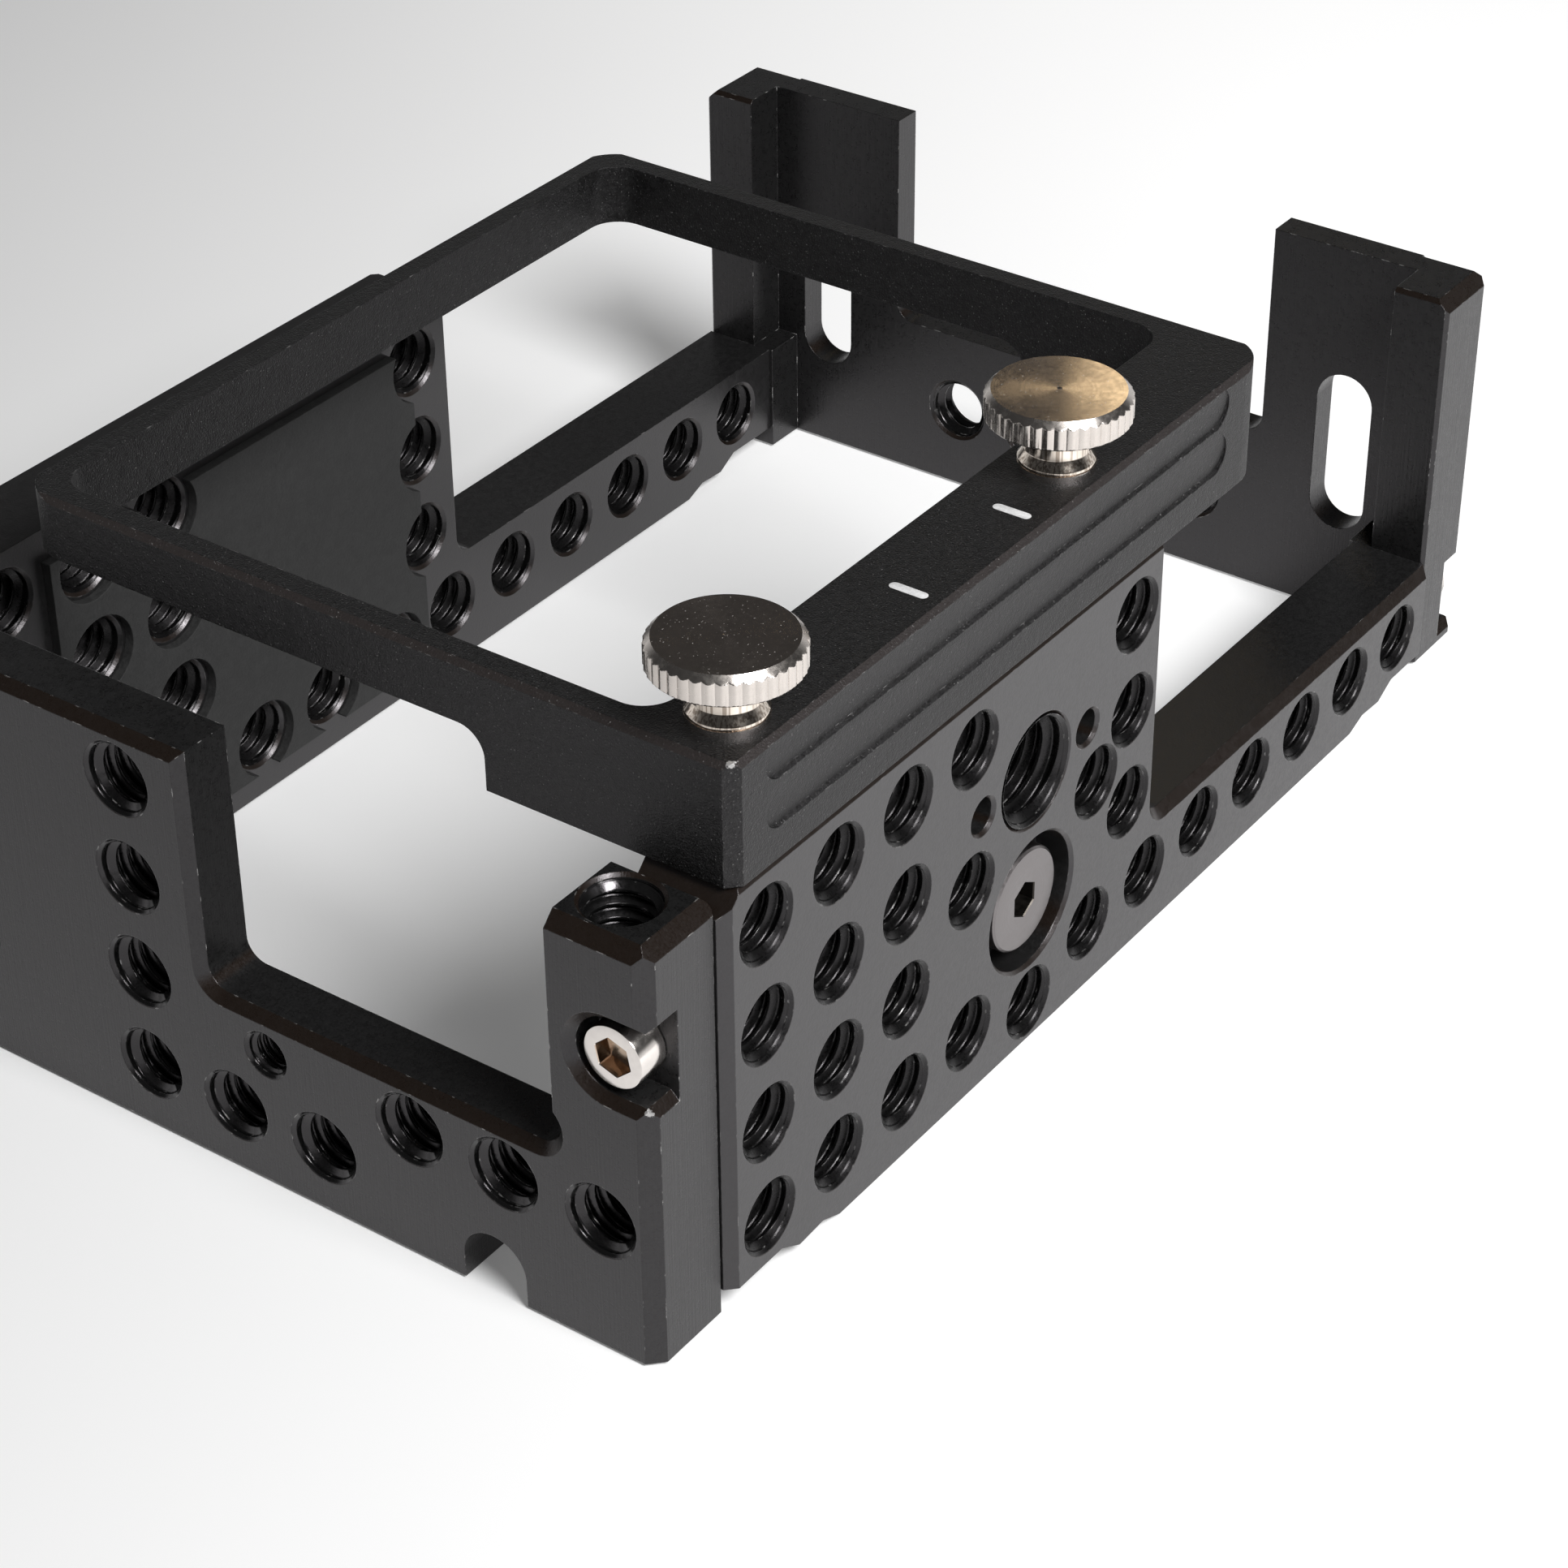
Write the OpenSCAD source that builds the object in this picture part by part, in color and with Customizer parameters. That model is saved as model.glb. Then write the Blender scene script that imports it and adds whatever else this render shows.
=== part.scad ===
// Camera cage: four machined plates screwed into a frame round a small square-cornered camera.
// A finder bracket stands behind the base plate, held down by two knurled thumb screws.
// The cage lies on its lens side: X runs along the camera's width, the base faces -Y and the
// camera's back faces +Z.

/* [Cage] */
// Width over the two side frames
cage_w = 133; // [130:0.5:145]
// Height from the base face to the top face
cage_h = 88; // [86:0.5:98]
// Depth of the base and top plates, front to back
plate_d = 40; // [39:0.5:44]
// Thickness of the base and top plates
plate_t = 8.6; // [8.2:0.1:10]
// Bevel along the plate ends, where they meet the corner posts
end_bevel = 0.9; // [0.5:0.1:1.2]
// Small bevel along the long plate edges
edge_bevel = 0.35; // [0.2:0.05:0.6]
// Bevel on the plates' back corners
corner_bevel = 2; // [1:0.1:2.5]

/* [Threaded holes] */
// Pitch of the hole grid
pitch = 9.5; // [9:0.1:10]
// Thread of the accessory holes, a quarter inch
accessory_d = 6.35; // [6:0.05:6.6]
// Thread of the large tripod hole, three eighths of an inch
tripod_d = 9.525; // [9:0.025:10]
// Bevel at the mouth of an accessory hole
mouth_bevel = 0.3; // [0.2:0.05:0.5]
// Bevel at the mouth of the tripod hole
tripod_bevel = 0.6; // [0.3:0.05:0.9]
// Diameter of the locating holes beside the tripod hole
locating_d = 3.2; // [2.5:0.1:3.6]
// Distance between the two locating holes
locating_span = 16; // [15:0.1:17]
// From the plate's end to the first column of holes
first_column = 5.1; // [4.5:0.1:6]
// From the front face to the front row of holes
front_row = 6.5; // [5.5:0.1:7]

/* [Plate windows] */
// Width of the full-depth part of the plates
deep_w = 63.3; // [62:0.1:70]
// Depth of the front strip beside the window
strip_d = 11.5; // [10.5:0.1:13]
// Bevel round the windows
window_bevel = 0.9; // [0.4:0.1:1.2]
// Inside corner radius of the windows
window_r = 2; // [1.5:0.1:3]
// Length of the shallow relief at each front corner
relief_l = 6.7; // [5:0.1:9]
// Depth of that relief
relief_d = 2; // [1:0.1:2.5]

/* [Side frames] */
// Width of a corner post, across the camera
post_w = 8.6; // [8:0.1:10]
// Height of a corner post, along the side frame
post_h = 9.3; // [9:0.1:11]
// Step from the base or top face down to a post's end
post_step = 0.9; // [0.5:0.1:1.2]
// Thickness of the left wall between its posts
wall_t = 5.5; // [4.5:0.1:6.5]
// Thickness of the right wall between its posts
hand_wall_t = 4; // [3.5:0.1:4.6]
// Height of a right corner post, along the side frame
hand_post_h = 5.7; // [5:0.1:6.2]
// How far the side frames stop short of the plates' back
frame_short = 0.2; // [0:0.1:1]
// Bevel on the outer corner of a post
post_bevel = 1.25; // [0.8:0.05:1.8]
// Bevel on the outer edges of a post's back end
post_end_bevel = 1.2; // [0.6:0.1:1.6]
// Small bevel on a post's back end, beside the plate
post_inner_bevel = 0.4; // [0.2:0.1:0.5]
// Wall between the hole in a post's back end and the plate
post_hole_plate_wall = 0.55; // [0.45:0.05:1]
// Wall between that hole and the window
post_hole_window_wall = 0.35; // [0.35:0.05:1]
// Depth of the front rail below the side windows
rail_d = 17.3; // [16:0.1:20]
// Width of the left window, for the sockets
socket_window_w = 36.1; // [30:0.1:38]
// Width of the right window, for the hand
hand_window_w = 44; // [36:0.5:45]
// From the right frame's lower end to its window
hand_window_low = 22; // [20:0.5:24]
// Width of a strap slot
strap_w = 6; // [5:0.1:6.2]
// Length of a strap slot, front to back
strap_l = 17.1; // [14:0.1:20]
// From the front face to the middle of a strap slot
strap_z = 17.9; // [17:0.1:20]
// From the right frame's end to the middle of its strap slots
strap_low = 13.1; // [13.1:0.1:14.5]
// Width of the cable notch in the left rail
notch_w = 6.3; // [4.5:0.1:7]
// Depth of the cable notch
notch_d = 5.7; // [4:0.1:6.5]

/* [Corner joints] */
// Thread of the corner cap screws
cap_d = 3; // [2.5:0.1:3.2]
// Head diameter of the corner cap screws
cap_head_d = 5.5; // [5:0.1:6]
// Head height of the corner cap screws
cap_head_h = 3; // [2.6:0.1:3.2]
// Key size of the corner cap screws
cap_key = 2.5; // [2:0.1:3]
// Thread length that enters the plate
cap_grip = 2.6; // [2:0.1:2.8]
// From the side frame's back to the screw's axis
cap_back = 11.2; // [10.5:0.1:12]
// Width of the pocket round the screw head
pocket_w = 7; // [6.4:0.1:7.4]
// Bevel round the pocket
pocket_bevel = 0.8; // [0.4:0.1:1]
// Diameter of the locating dowels
dowel_d = 2.5; // [2:0.1:3]
// Length of the locating dowels
dowel_l = 6; // [4:0.1:6.4]

/* [Camera screw] */
// Diameter of the screw head
camera_head_d = 9.7; // [8:0.1:10.5]
// Height of the screw head
camera_head_h = 2.4; // [2:0.1:3]
// Key size of the screw head
camera_key = 3; // [2.5:0.1:4]
// Diameter of the counterbore round the head
counterbore_d = 12.7; // [11:0.1:13]
// How far the head lies below the base face
head_recess = 0.7; // [0.3:0.1:1.2]
// Diameter of the camera screw's thread
camera_thread_d = 6.25; // [6:0.05:6.4]
// Length of that thread
camera_thread_l = 5; // [4:0.1:5.5]
// How far the screw stands out of the base pad
camera_reach = 4.6; // [4:0.1:5]
// Thickness of the washer under the head
camera_washer_t = 0.5; // [0.3:0.1:0.8]

/* [Pads] */
// Thickness of the rubber pads
pad_t = 1; // [0.5:0.1:1.5]
// Length of the pads, in columns of holes
pad_columns = 5; // [3:1:5]
// Width of the pads
pad_w = 34; // [28:0.5:35]

/* [Finder bracket] */
// Width of the bracket
bracket_w = 78.2; // [74:0.1:80]
// Height of the bracket, from the base face up
bracket_h = 72; // [64:0.5:76]
// Depth of the bracket, front to back
bracket_d = 10.9; // [10:0.1:12]
// From the cage's left face to the bracket's
bracket_inset = 9.85; // [9.5:0.05:11]
// Width of the bottom bar
bar_w = 9.1; // [9:0.1:10]
// Thickness of the other three walls
bracket_wall = 2.5; // [2:0.1:3.5]
// From the base face to the step in the side walls
step_y = 23.4; // [18:0.1:30]
// Depth of the walls past the step
thin_d = 5.6; // [4:0.1:7]
// Gap between the bracket and the plate
bracket_gap = 0.1; // [0.05:0.05:0.2]
// Outside corner radius
bracket_r = 4.5; // [3:0.1:6]
// Inside corner radius
opening_r = 3; // [2:0.1:4]
// Bevel on the corner beside the left thumb screw
bracket_bevel = 1.05; // [0.6:0.05:1.5]
// Bevel along the back edges of the bracket
bracket_edge = 0.5; // [0.2:0.1:0.8]
// Length of the two finger grooves
groove_l = 67; // [55:0.5:70]
// Depth of the finger grooves
groove_d = 0.3; // [0.2:0.1:0.7]
// Height of one finger groove
groove_h = 3.6; // [3:0.1:3.9]

/* [Tongue] */
// Height of the base plate's tongue inside the bracket
tongue_h = 4.6; // [4.2:0.1:5]
// Thickness of the tongue
tongue_t = 6.2; // [5.5:0.1:6.4]
// Clearance round the tongue
tongue_gap = 0.1; // [0.05:0.05:0.2]

/* [Thumb screws] */
// Head diameter over the ribs
knob_d = 12.2; // [11:0.1:12.5]
// Height of the knurled head
knob_h = 2.5; // [2:0.1:3.5]
// Height of the head's top above the bracket
knob_top = 7; // [6.4:0.1:8]
// Bevel at the head's top edge
knob_bevel = 0.42; // [0.2:0.02:0.6]
// Number of grooves in the knurl
knurl_count = 44; // [30:1:50]
// Width of one knurl groove
knurl_w = 0.42; // [0.3:0.02:0.5]
// Collar diameter
collar_d = 6.5; // [6:0.1:7]
// Height of the collar's straight part
collar_h = 0.8; // [0.5:0.1:1.2]
// Diameter of the neck under the head
neck_d = 5; // [4.4:0.1:5.6]
// Thickness of the washer under the collar
washer_t = 0.6; // [0.4:0.1:0.8]
// Diameter of the screw's thread
knob_thread_d = 3.9; // [3.8:0.05:3.95]
// Diameter of the relieved shank above the thread
shank_d = 3.2; // [2.8:0.1:3.4]
// Length of the thread at the tip
knob_thread_l = 4.3; // [3.8:0.1:4.5]
// From the bracket's left face to the first screw
knob_inset = 5.55; // [5.2:0.05:7]
// Distance between the two screws
knob_span = 45.2; // [40:0.1:50]

/* [Accessory shoe] */
// Width of the shoe
shoe_w = 21.8; // [21:0.1:23]
// Length of the shoe
shoe_l = 18.5; // [17:0.1:19]
// Thickness of the shoe's floor
shoe_floor = 1.5; // [1.4:0.1:2]
// Height of the shoe's slot
shoe_slot_h = 2.1; // [2:0.05:2.2]
// Width of the shoe's slot
shoe_slot_w = 18.8; // [18.6:0.05:19]
// Thickness of the lips over the slot
shoe_lip_t = 1.4; // [1:0.1:1.6]
// Gap between the two lips
shoe_gap_w = 12.6; // [12.5:0.1:13]
// From the front face to the shoe
shoe_front = 11.5; // [11:0.1:13]
// Thread of the shoe screws
shoe_screw_d = 2.5; // [2:0.1:3]
// Length of the shoe screws
shoe_screw_l = 5; // [4:0.1:6]

/* [Hidden] */
$fn = 48;

// Overrun of every cut past the face that it opens
over = 1;
// Radial clearance of a fixed pin, screw or pad in its hole
fit = 0.05;
// Clearance round a screw head
head_gap = 0.15;
// Bevel at a screw's or dowel's tip
tip_bevel = 0.4;
// Web left between two pockets in a post
web = 0.4;
// Metal left under the bracket's top at a thumb screw
bar_web = 1.5;
// Wall between the shoe's floor edge and its screws
shoe_margin = 4.2;

// Columns of the rear and middle rows of the base plate, in pitches
rear_row_shares = [0, 1, 2, 3, 5.62];
middle_row_shares = [0, 1, 2, 5.62];
// Loose holes round the camera screw, as column and row in pitches
loose_hole_shares = [[4, -0.28], [3, 1.55], [5.03, 1.55]];
// The tripod hole and the camera screw, as column and row in pitches
tripod_share = [4, 2.23];
camera_share = [4, 0.83];
// Columns of the top plate's rear and middle rows, in pitches
top_rear_shares = [0, 1, 2, 5.62];
top_middle_shares = [0, 1, 2, 5.62];
// Holes in the left rail, as steps up the wall and drops towards the front, in pitches
rail_hole_shares = [[0, 0], [1, 0], [2, 0], [3, -0.67], [4, -0.67]];
// Holes in the wall past the left window, as steps from the window and rows, in pitches
wall_hole_shares = [[0.75, 0], [0.75, 1], [0.75, 2], [0.75, 3]];
// Small hole above the rail holes, as a step and a rise in pitches
cable_hole_share = [3.58, 0.07];
cable_hole_d = 4;
// Screw and dowel at the strip's end, from the front face, as shares of the strip's depth
strip_joint_shares = [0.43, 0.81];
// Finger grooves: share of the free length at their left, and of the bracket's depth below
groove_shares = [[0.35, 0.28], [0.35, 0.68]];
// Points of the shallow relief, as shares of its length and depth
relief_shares = [[1, 1], [1.36, 0.35], [1.85, 0.45], [2.2, 0]];

// Places that follow from the sizes above
plate_end = cage_w - post_w;
column_x = post_w + first_column;
frame_d = plate_d - frame_short;
cap_z = frame_d - cap_back;
cap_y = (plate_t + post_step) / 2;
pocket_floor = cap_head_h + edge_bevel * 2;
post_hole_l = cap_back - pocket_w / 2 - pocket_bevel - web;
post_hole_x = post_w - post_hole_plate_wall - accessory_d / 2;
post_hole_y = post_step + post_h - post_hole_window_wall - accessory_d / 2;
dowel_z = front_row + pitch * 1.5;
rail_hole_y = post_step + post_h * 0.55;
rail_hole_z = front_row + mouth_bevel + pitch * 0.62;
notch_y = rail_hole_y + pitch * 1.15;
strip_cap_z = strip_d * strip_joint_shares[0];
strip_dowel_z = strip_d * strip_joint_shares[1];
foot_h = plate_t - post_step + web;
window_start = post_w + deep_w;
last_column = floor((plate_end - end_bevel - accessory_d / 2 - column_x) / pitch);
top_front_shares = [0 : last_column];
front_row_shares = [for (c = top_front_shares) if (c != camera_share[0]) c];
camera_x = column_x + camera_share[0] * pitch;
camera_z = front_row + camera_share[1] * pitch;
tripod_x = column_x + tripod_share[0] * pitch;
tripod_z = front_row + tripod_share[1] * pitch;
counterbore_h = head_recess + camera_head_h + camera_washer_t;
pad_x = column_x + pitch / 2;
pad_l = pad_columns * pitch;
bracket_z = plate_d + bracket_gap;
bracket_top = bracket_z + bracket_d;
bar_y = bar_w / 2;
knob_low_x = bracket_inset + knob_inset;
knob_high_x = knob_low_x + knob_span;
tongue_low_x = bracket_inset + bracket_wall;
tongue_l = window_start - tongue_low_x - window_bevel;
shoe_proud = shoe_slot_h + shoe_lip_t;
shoe_x = camera_x - shoe_w / 2;
low_y = bar_y - knob_d / 2;
high_y = cage_h + shoe_proud;

// Moves the cage so that the frame's origin is under the middle of its box
module in_frame() {
    translate([-cage_w / 2, -(low_y + high_y) / 2, 0]) children();
}

// Turns an upright shape so that its top points along +Y, -Y or +X
module along_y() {
    rotate([-90, 0, 0]) children();
}
module against_y() {
    rotate([90, 0, 0]) children();
}
module along_x() {
    rotate([0, 90, 0]) children();
}

// Square bars standing on an edge, which bevel an edge that runs along X, Y or Z
module bevel_z(length, leg) {
    translate([0, 0, -over]) linear_extrude(length + 2 * over)
        polygon([[leg, 0], [0, leg], [-leg, 0], [0, -leg]]);
}
module bevel_x(length, leg) {
    rotate([90, 0, 90]) bevel_z(length, leg);
}
module bevel_y(length, leg) {
    along_y() bevel_z(length, leg);
}

// Cut for a threaded hole through a wall, with a bevel at both mouths
module through_hole(d, wall, bevel) {
    translate([0, 0, -over]) cylinder(d = d, h = wall + 2 * over);
    translate([0, 0, -over]) cylinder(d1 = d + 2 * (bevel + over), d2 = d, h = bevel + over);
    translate([0, 0, wall - bevel]) cylinder(d1 = d, d2 = d + 2 * (bevel + over), h = bevel + over);
}

// Cut for a blind threaded hole that opens upwards at height zero
module blind_hole(d, depth, bevel) {
    translate([0, 0, -depth]) cylinder(d = d, h = depth + over);
    translate([0, 0, -bevel]) cylinder(d1 = d, d2 = d + 2 * (bevel + over), h = bevel + over);
}

// Rectangle with its two lower corners rounded, for windows that are open at the back
module window_outline(low, high, sill, back) {
    translate([low, sill + window_r]) square([high - low, back - sill - window_r]);
    translate([low + window_r, sill]) square([high - low - 2 * window_r, window_r + over]);
    translate([low + window_r, sill + window_r]) circle(window_r);
    translate([high - window_r, sill + window_r]) circle(window_r);
}

// Outline of a plate, seen from the base: deep part, front strip and corner reliefs
module plate_outline() {
    difference() {
        translate([post_w, 0]) square([plate_end - post_w, plate_d]);
        window_outline(window_start, plate_end + 2 * window_r, strip_d, plate_d + over);
        plate_relief();
        translate([cage_w, 0]) mirror([1, 0]) plate_relief();
        plate_corner();
    }
}

// Shallow relief in the front edge, next to a corner post
module plate_relief() {
    polygon(concat(
        [[post_w - over, -over], [post_w - over, relief_d]],
        [for (s = relief_shares) [post_w + s[0] * relief_l, s[1] * relief_d]],
        [[post_w + relief_shares[3][0] * relief_l, -over]]));
}

// Bevel across the plate's back corner
module plate_corner() {
    translate([post_w, plate_d])
        polygon([[-over, over], [corner_bevel + over, over], [-over, -corner_bevel - over]]);
}

// Bevels on the plate's outer face: both ends, the back edge and the window
module plate_bevels() {
    for (x = [post_w, plate_end]) translate([x, 0, 0]) bevel_z(plate_d, end_bevel);
    translate([post_w, 0, plate_d]) bevel_x(plate_end - post_w, edge_bevel);
    translate([window_start, 0, strip_d + window_r + over]) bevel_z(plate_d, window_bevel);
    translate([window_start + window_r + over, 0, strip_d])
        bevel_x(plate_end - window_start, window_bevel);
    translate([window_start + window_r, -over, strip_d + window_r]) along_y()
        cylinder(r1 = window_r + window_bevel + over, r2 = window_r, h = window_bevel + over);
}

// Hole for a cap screw's thread, with the cone that a drill leaves
module screw_bore(x) {
    translate([x - over, 0, 0]) along_x()
        cylinder(d = cap_d + 2 * fit, h = cap_grip - 2 * tip_bevel + over);
    translate([x + cap_grip - 2 * tip_bevel, 0, 0]) along_x()
        cylinder(d1 = cap_d + 2 * fit, d2 = cap_d - 4 * tip_bevel, h = 2 * tip_bevel);
}

// Screw thread and dowel holes in one end of a plate
module plate_end_holes(right, screw_z, pin_z) {
    translate([right * cage_w, cap_y, 0]) mirror([right, 0, 0]) {
        translate([0, 0, screw_z]) screw_bore(post_w);
        translate([post_w - over, 0, pin_z]) along_x()
            cylinder(d = dowel_d + 2 * fit, h = dowel_l / 2 + fit + over);
    }
}

// Base plate: hole grid, tripod hole, camera screw counterbore and rear tongue
module base_plate() {
    color("dimgray") in_frame() difference() {
        union() {
            translate([0, plate_t, 0]) against_y() linear_extrude(plate_t) plate_outline();
            translate([tongue_low_x, bar_y - tongue_t / 2, plate_d - over])
                cube([tongue_l, tongue_t, tongue_h + over]);
        }
        plate_bevels();
        plate_end_holes(0, cap_z, dowel_z);
        plate_end_holes(1, strip_cap_z, strip_dowel_z);
        grid_holes(rear_row_shares, 3);
        grid_holes(middle_row_shares, 2);
        grid_holes(middle_row_shares, 1);
        grid_holes(front_row_shares, 0);
        for (s = loose_hole_shares) plate_hole(s[0], s[1]);
        translate([tripod_x, 0, tripod_z]) along_y()
            through_hole(tripod_d, plate_t, tripod_bevel);
        for (side = [-1, 1])
            translate([tripod_x + side * locating_span / 2, 0, tripod_z]) along_y()
                through_hole(locating_d, plate_t, mouth_bevel);
        translate([camera_x, 0, camera_z]) along_y() {
            through_hole(accessory_d + 2 * fit, plate_t, mouth_bevel);
            translate([0, 0, -over]) cylinder(d = counterbore_d, h = counterbore_h + over);
            translate([0, 0, -over]) cylinder(d1 = counterbore_d + 2 * (mouth_bevel + over),
                d2 = counterbore_d, h = mouth_bevel + over);
        }
        for (x = [knob_low_x, knob_high_x]) translate([x, bar_y, plate_d + tongue_h])
            blind_hole(knob_thread_d + 2 * fit, tongue_h + bar_web, mouth_bevel);
    }
}

// One accessory hole through a plate, at a column and a row of the grid
module plate_hole(column, row) {
    translate([column_x + column * pitch, 0, front_row + row * pitch]) along_y()
        through_hole(accessory_d, plate_t, mouth_bevel);
}

// A row of accessory holes through a plate
module grid_holes(columns, row) {
    for (c = columns) plate_hole(c, row);
}

// Top plate: the same outline with its own hole rows and the seat of the accessory shoe
module top_plate() {
    color("dimgray") in_frame() translate([0, cage_h, 0]) mirror([0, 1, 0]) difference() {
        translate([0, plate_t, 0]) against_y() linear_extrude(plate_t) plate_outline();
        plate_bevels();
        plate_end_holes(0, cap_z, dowel_z);
        plate_end_holes(1, strip_cap_z, strip_dowel_z);
        grid_holes(top_rear_shares, 3);
        grid_holes(top_middle_shares, 2);
        grid_holes(top_middle_shares, 1);
        grid_holes(top_front_shares, 0);
        translate([shoe_x - fit, -over, shoe_front - fit])
            cube([shoe_w + 2 * fit, shoe_floor + over, shoe_l + 2 * fit]);
        shoe_screw_places() cylinder(d = shoe_screw_d + 2 * fit, h = shoe_screw_l + fit);
    }
}

// Outline of a side frame in height and depth, for one window
module side_outline(low, high) {
    difference() {
        translate([post_step, 0]) square([cage_h - 2 * post_step, frame_d]);
        window_outline(low, high, rail_d, frame_d + over);
    }
}

// Side frame with the window from low to high, before its own holes are cut
module side_frame(low, high, wall, height, screw_z, pin_z) {
    difference() {
        union() {
            side_slab(wall) side_outline(low, high);
            side_slab(post_w) for (top = [0, 1])
                translate([top * cage_h, 0]) mirror([top, 0]) translate([post_step, 0]) {
                    square([height, frame_d]);
                    square([foot_h, strip_d]);
                }
        }
        for (top = [0, 1]) translate([0, top * cage_h, 0]) mirror([0, top, 0])
            post_cuts(height, screw_z, pin_z);
        translate([0, low + window_r + over, rail_d])
            bevel_y(high - low - 2 * (window_r + over), window_bevel);
        for (y = [low + window_r, high - window_r])
            translate([-over, y, rail_d + window_r]) along_x()
                cylinder(r1 = window_r + window_bevel + over, r2 = window_r, h = window_bevel + over);
        translate([0, post_step + height, frame_d])
            bevel_y(cage_h - 2 * (post_step + height), window_bevel);
        if (low > post_step + height)
            translate([0, low, rail_d + window_r + over]) bevel_z(frame_d, window_bevel);
        translate([0, high, rail_d + window_r + over]) bevel_z(frame_d, window_bevel);
    }
}

// Stands an outline in height and depth upright, with its outer face at X zero
module side_slab(thick) {
    rotate([90, 0, 90]) linear_extrude(thick) children();
}

// Bevels, screw pocket and dowel hole of the post at the base end
module post_cuts(height, screw_z, pin_z) {
    end_y = post_step;
    translate([0, end_y, 0]) bevel_z(frame_d, post_bevel);
    translate([post_w, end_y, 0]) bevel_z(frame_d, edge_bevel);
    translate([0, end_y, frame_d]) bevel_x(post_w, post_end_bevel);
    translate([0, end_y, frame_d]) bevel_y(height, post_end_bevel);
    translate([post_w, end_y, frame_d]) bevel_y(height, post_inner_bevel);
    translate([-over, cap_y, screw_z]) along_x()
        cylinder(d = pocket_w, h = pocket_floor + over);
    translate([-over, -over, screw_z - pocket_w / 2])
        cube([pocket_floor + over, cap_y + over, pocket_w]);
    translate([-over, cap_y, screw_z]) along_x() cylinder(
        r1 = pocket_w / 2 + pocket_bevel + over, r2 = pocket_w / 2, h = pocket_bevel + over);
    for (side = [-1, 1]) translate([0, 0, screw_z + side * pocket_w / 2]) {
        translate([0, over, 0]) bevel_y(cap_y - 2 * over, pocket_bevel);
        translate([over, end_y, 0]) bevel_x(pocket_floor - 2 * over, pocket_bevel);
    }
    translate([0, cap_y, screw_z]) along_x()
        cylinder(d = cap_d + 2 * head_gap, h = post_w + over);
    translate([post_w - dowel_l / 2 - fit, cap_y, pin_z]) along_x()
        cylinder(d = dowel_d + 2 * fit, h = dowel_l);
}

// An accessory hole through a side frame, from its outer face
module side_hole(y, z, wall, d) {
    translate([0, y, z]) along_x() through_hole(d, wall, mouth_bevel);
}

// Half the section of a strap slot and its outer bevel, from the slot's middle outwards
module slot_section(wall) {
    r = strap_w / 2;
    polygon([[0, -over], [r + window_bevel + over, -over], [r, window_bevel],
        [r, wall + over], [0, wall + over]]);
}

// Slot with round ends through a side frame: its section turned at both ends, drawn out between
module strap_slot(y, wall) {
    half = (strap_l - strap_w) / 2;
    translate([0, y, strap_z]) along_x() {
        for (side = [-1, 1]) translate([side * half, 0, 0]) rotate_extrude() slot_section(wall);
        rotate([90, 0, 90]) translate([0, 0, -half]) linear_extrude(2 * half) {
            slot_section(wall);
            mirror([1, 0]) slot_section(wall);
        }
    }
}

// Left side frame: socket window, rail holes, cable notch and strap slot
module left_side_frame() {
    low = post_step + post_h;
    high = low + socket_window_w;
    color("dimgray") in_frame() difference() {
        side_frame(low, high, wall_t, post_h, cap_z, dowel_z);
        for (top = [0, 1]) translate([0, top * cage_h, 0]) mirror([0, top, 0])
            translate([post_hole_x, post_hole_y, frame_d])
                blind_hole(accessory_d, post_hole_l, mouth_bevel);
        for (s = rail_hole_shares)
            side_hole(rail_hole_y + s[0] * pitch, rail_hole_z + s[1] * pitch,
                s[0] == 0 ? post_w : wall_t, accessory_d);
        side_hole(rail_hole_y + cable_hole_share[0] * pitch,
            rail_hole_z + cable_hole_share[1] * pitch, wall_t, cable_hole_d);
        for (s = wall_hole_shares)
            side_hole(high + s[0] * pitch, front_row + s[1] * pitch, wall_t, accessory_d);
        translate([-over, notch_y - notch_w / 2, -over])
            cube([wall_t + 2 * over, notch_w, notch_d - notch_w / 2 + over]);
        translate([-over, notch_y, notch_d - notch_w / 2]) along_x()
            cylinder(d = notch_w, h = wall_t + 2 * over);
        strap_slot(cage_h - post_step - post_h - window_bevel - strap_w / 2, wall_t);
    }
}

// Right side frame: hand window, a strap slot at each end and a row of accessory holes
module right_side_frame() {
    low = hand_window_low;
    row_y = low + (hand_window_w - 3 * pitch) / 2;
    color("dimgray") in_frame() translate([cage_w, 0, 0]) mirror([1, 0, 0]) difference() {
        side_frame(low, low + hand_window_w, hand_wall_t, hand_post_h,
            strip_cap_z, strip_dowel_z);
        for (c = [0, 1, 2, 3])
            side_hole(row_y + c * pitch, rail_d / 2, hand_wall_t, accessory_d);
        for (y = [strap_low, cage_h - strap_low]) strap_slot(y, hand_wall_t);
    }
}

// Socket-head cap screw, its axis along X with the head at the side face
module cap_screw(z) {
    translate([pocket_floor, cap_y, z]) along_x() difference() {
        union() {
            translate([0, 0, -cap_head_h]) rotate_extrude() polygon([
                [0, 0], [cap_head_d / 2 - tip_bevel / 2, 0], [cap_head_d / 2, tip_bevel / 2],
                [cap_head_d / 2, cap_head_h], [0, cap_head_h]]);
            cylinder(d = cap_d, h = post_w - pocket_floor + cap_grip - tip_bevel * 2);
            translate([0, 0, post_w - pocket_floor + cap_grip - tip_bevel * 2])
                cylinder(d1 = cap_d, d2 = cap_d - 4 * tip_bevel, h = tip_bevel * 2 - fit);
        }
        translate([0, 0, -cap_head_h - over])
            cylinder(d = cap_key * 2 / sqrt(3), h = cap_head_h / 2 + over, $fn = 6);
    }
}

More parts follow.
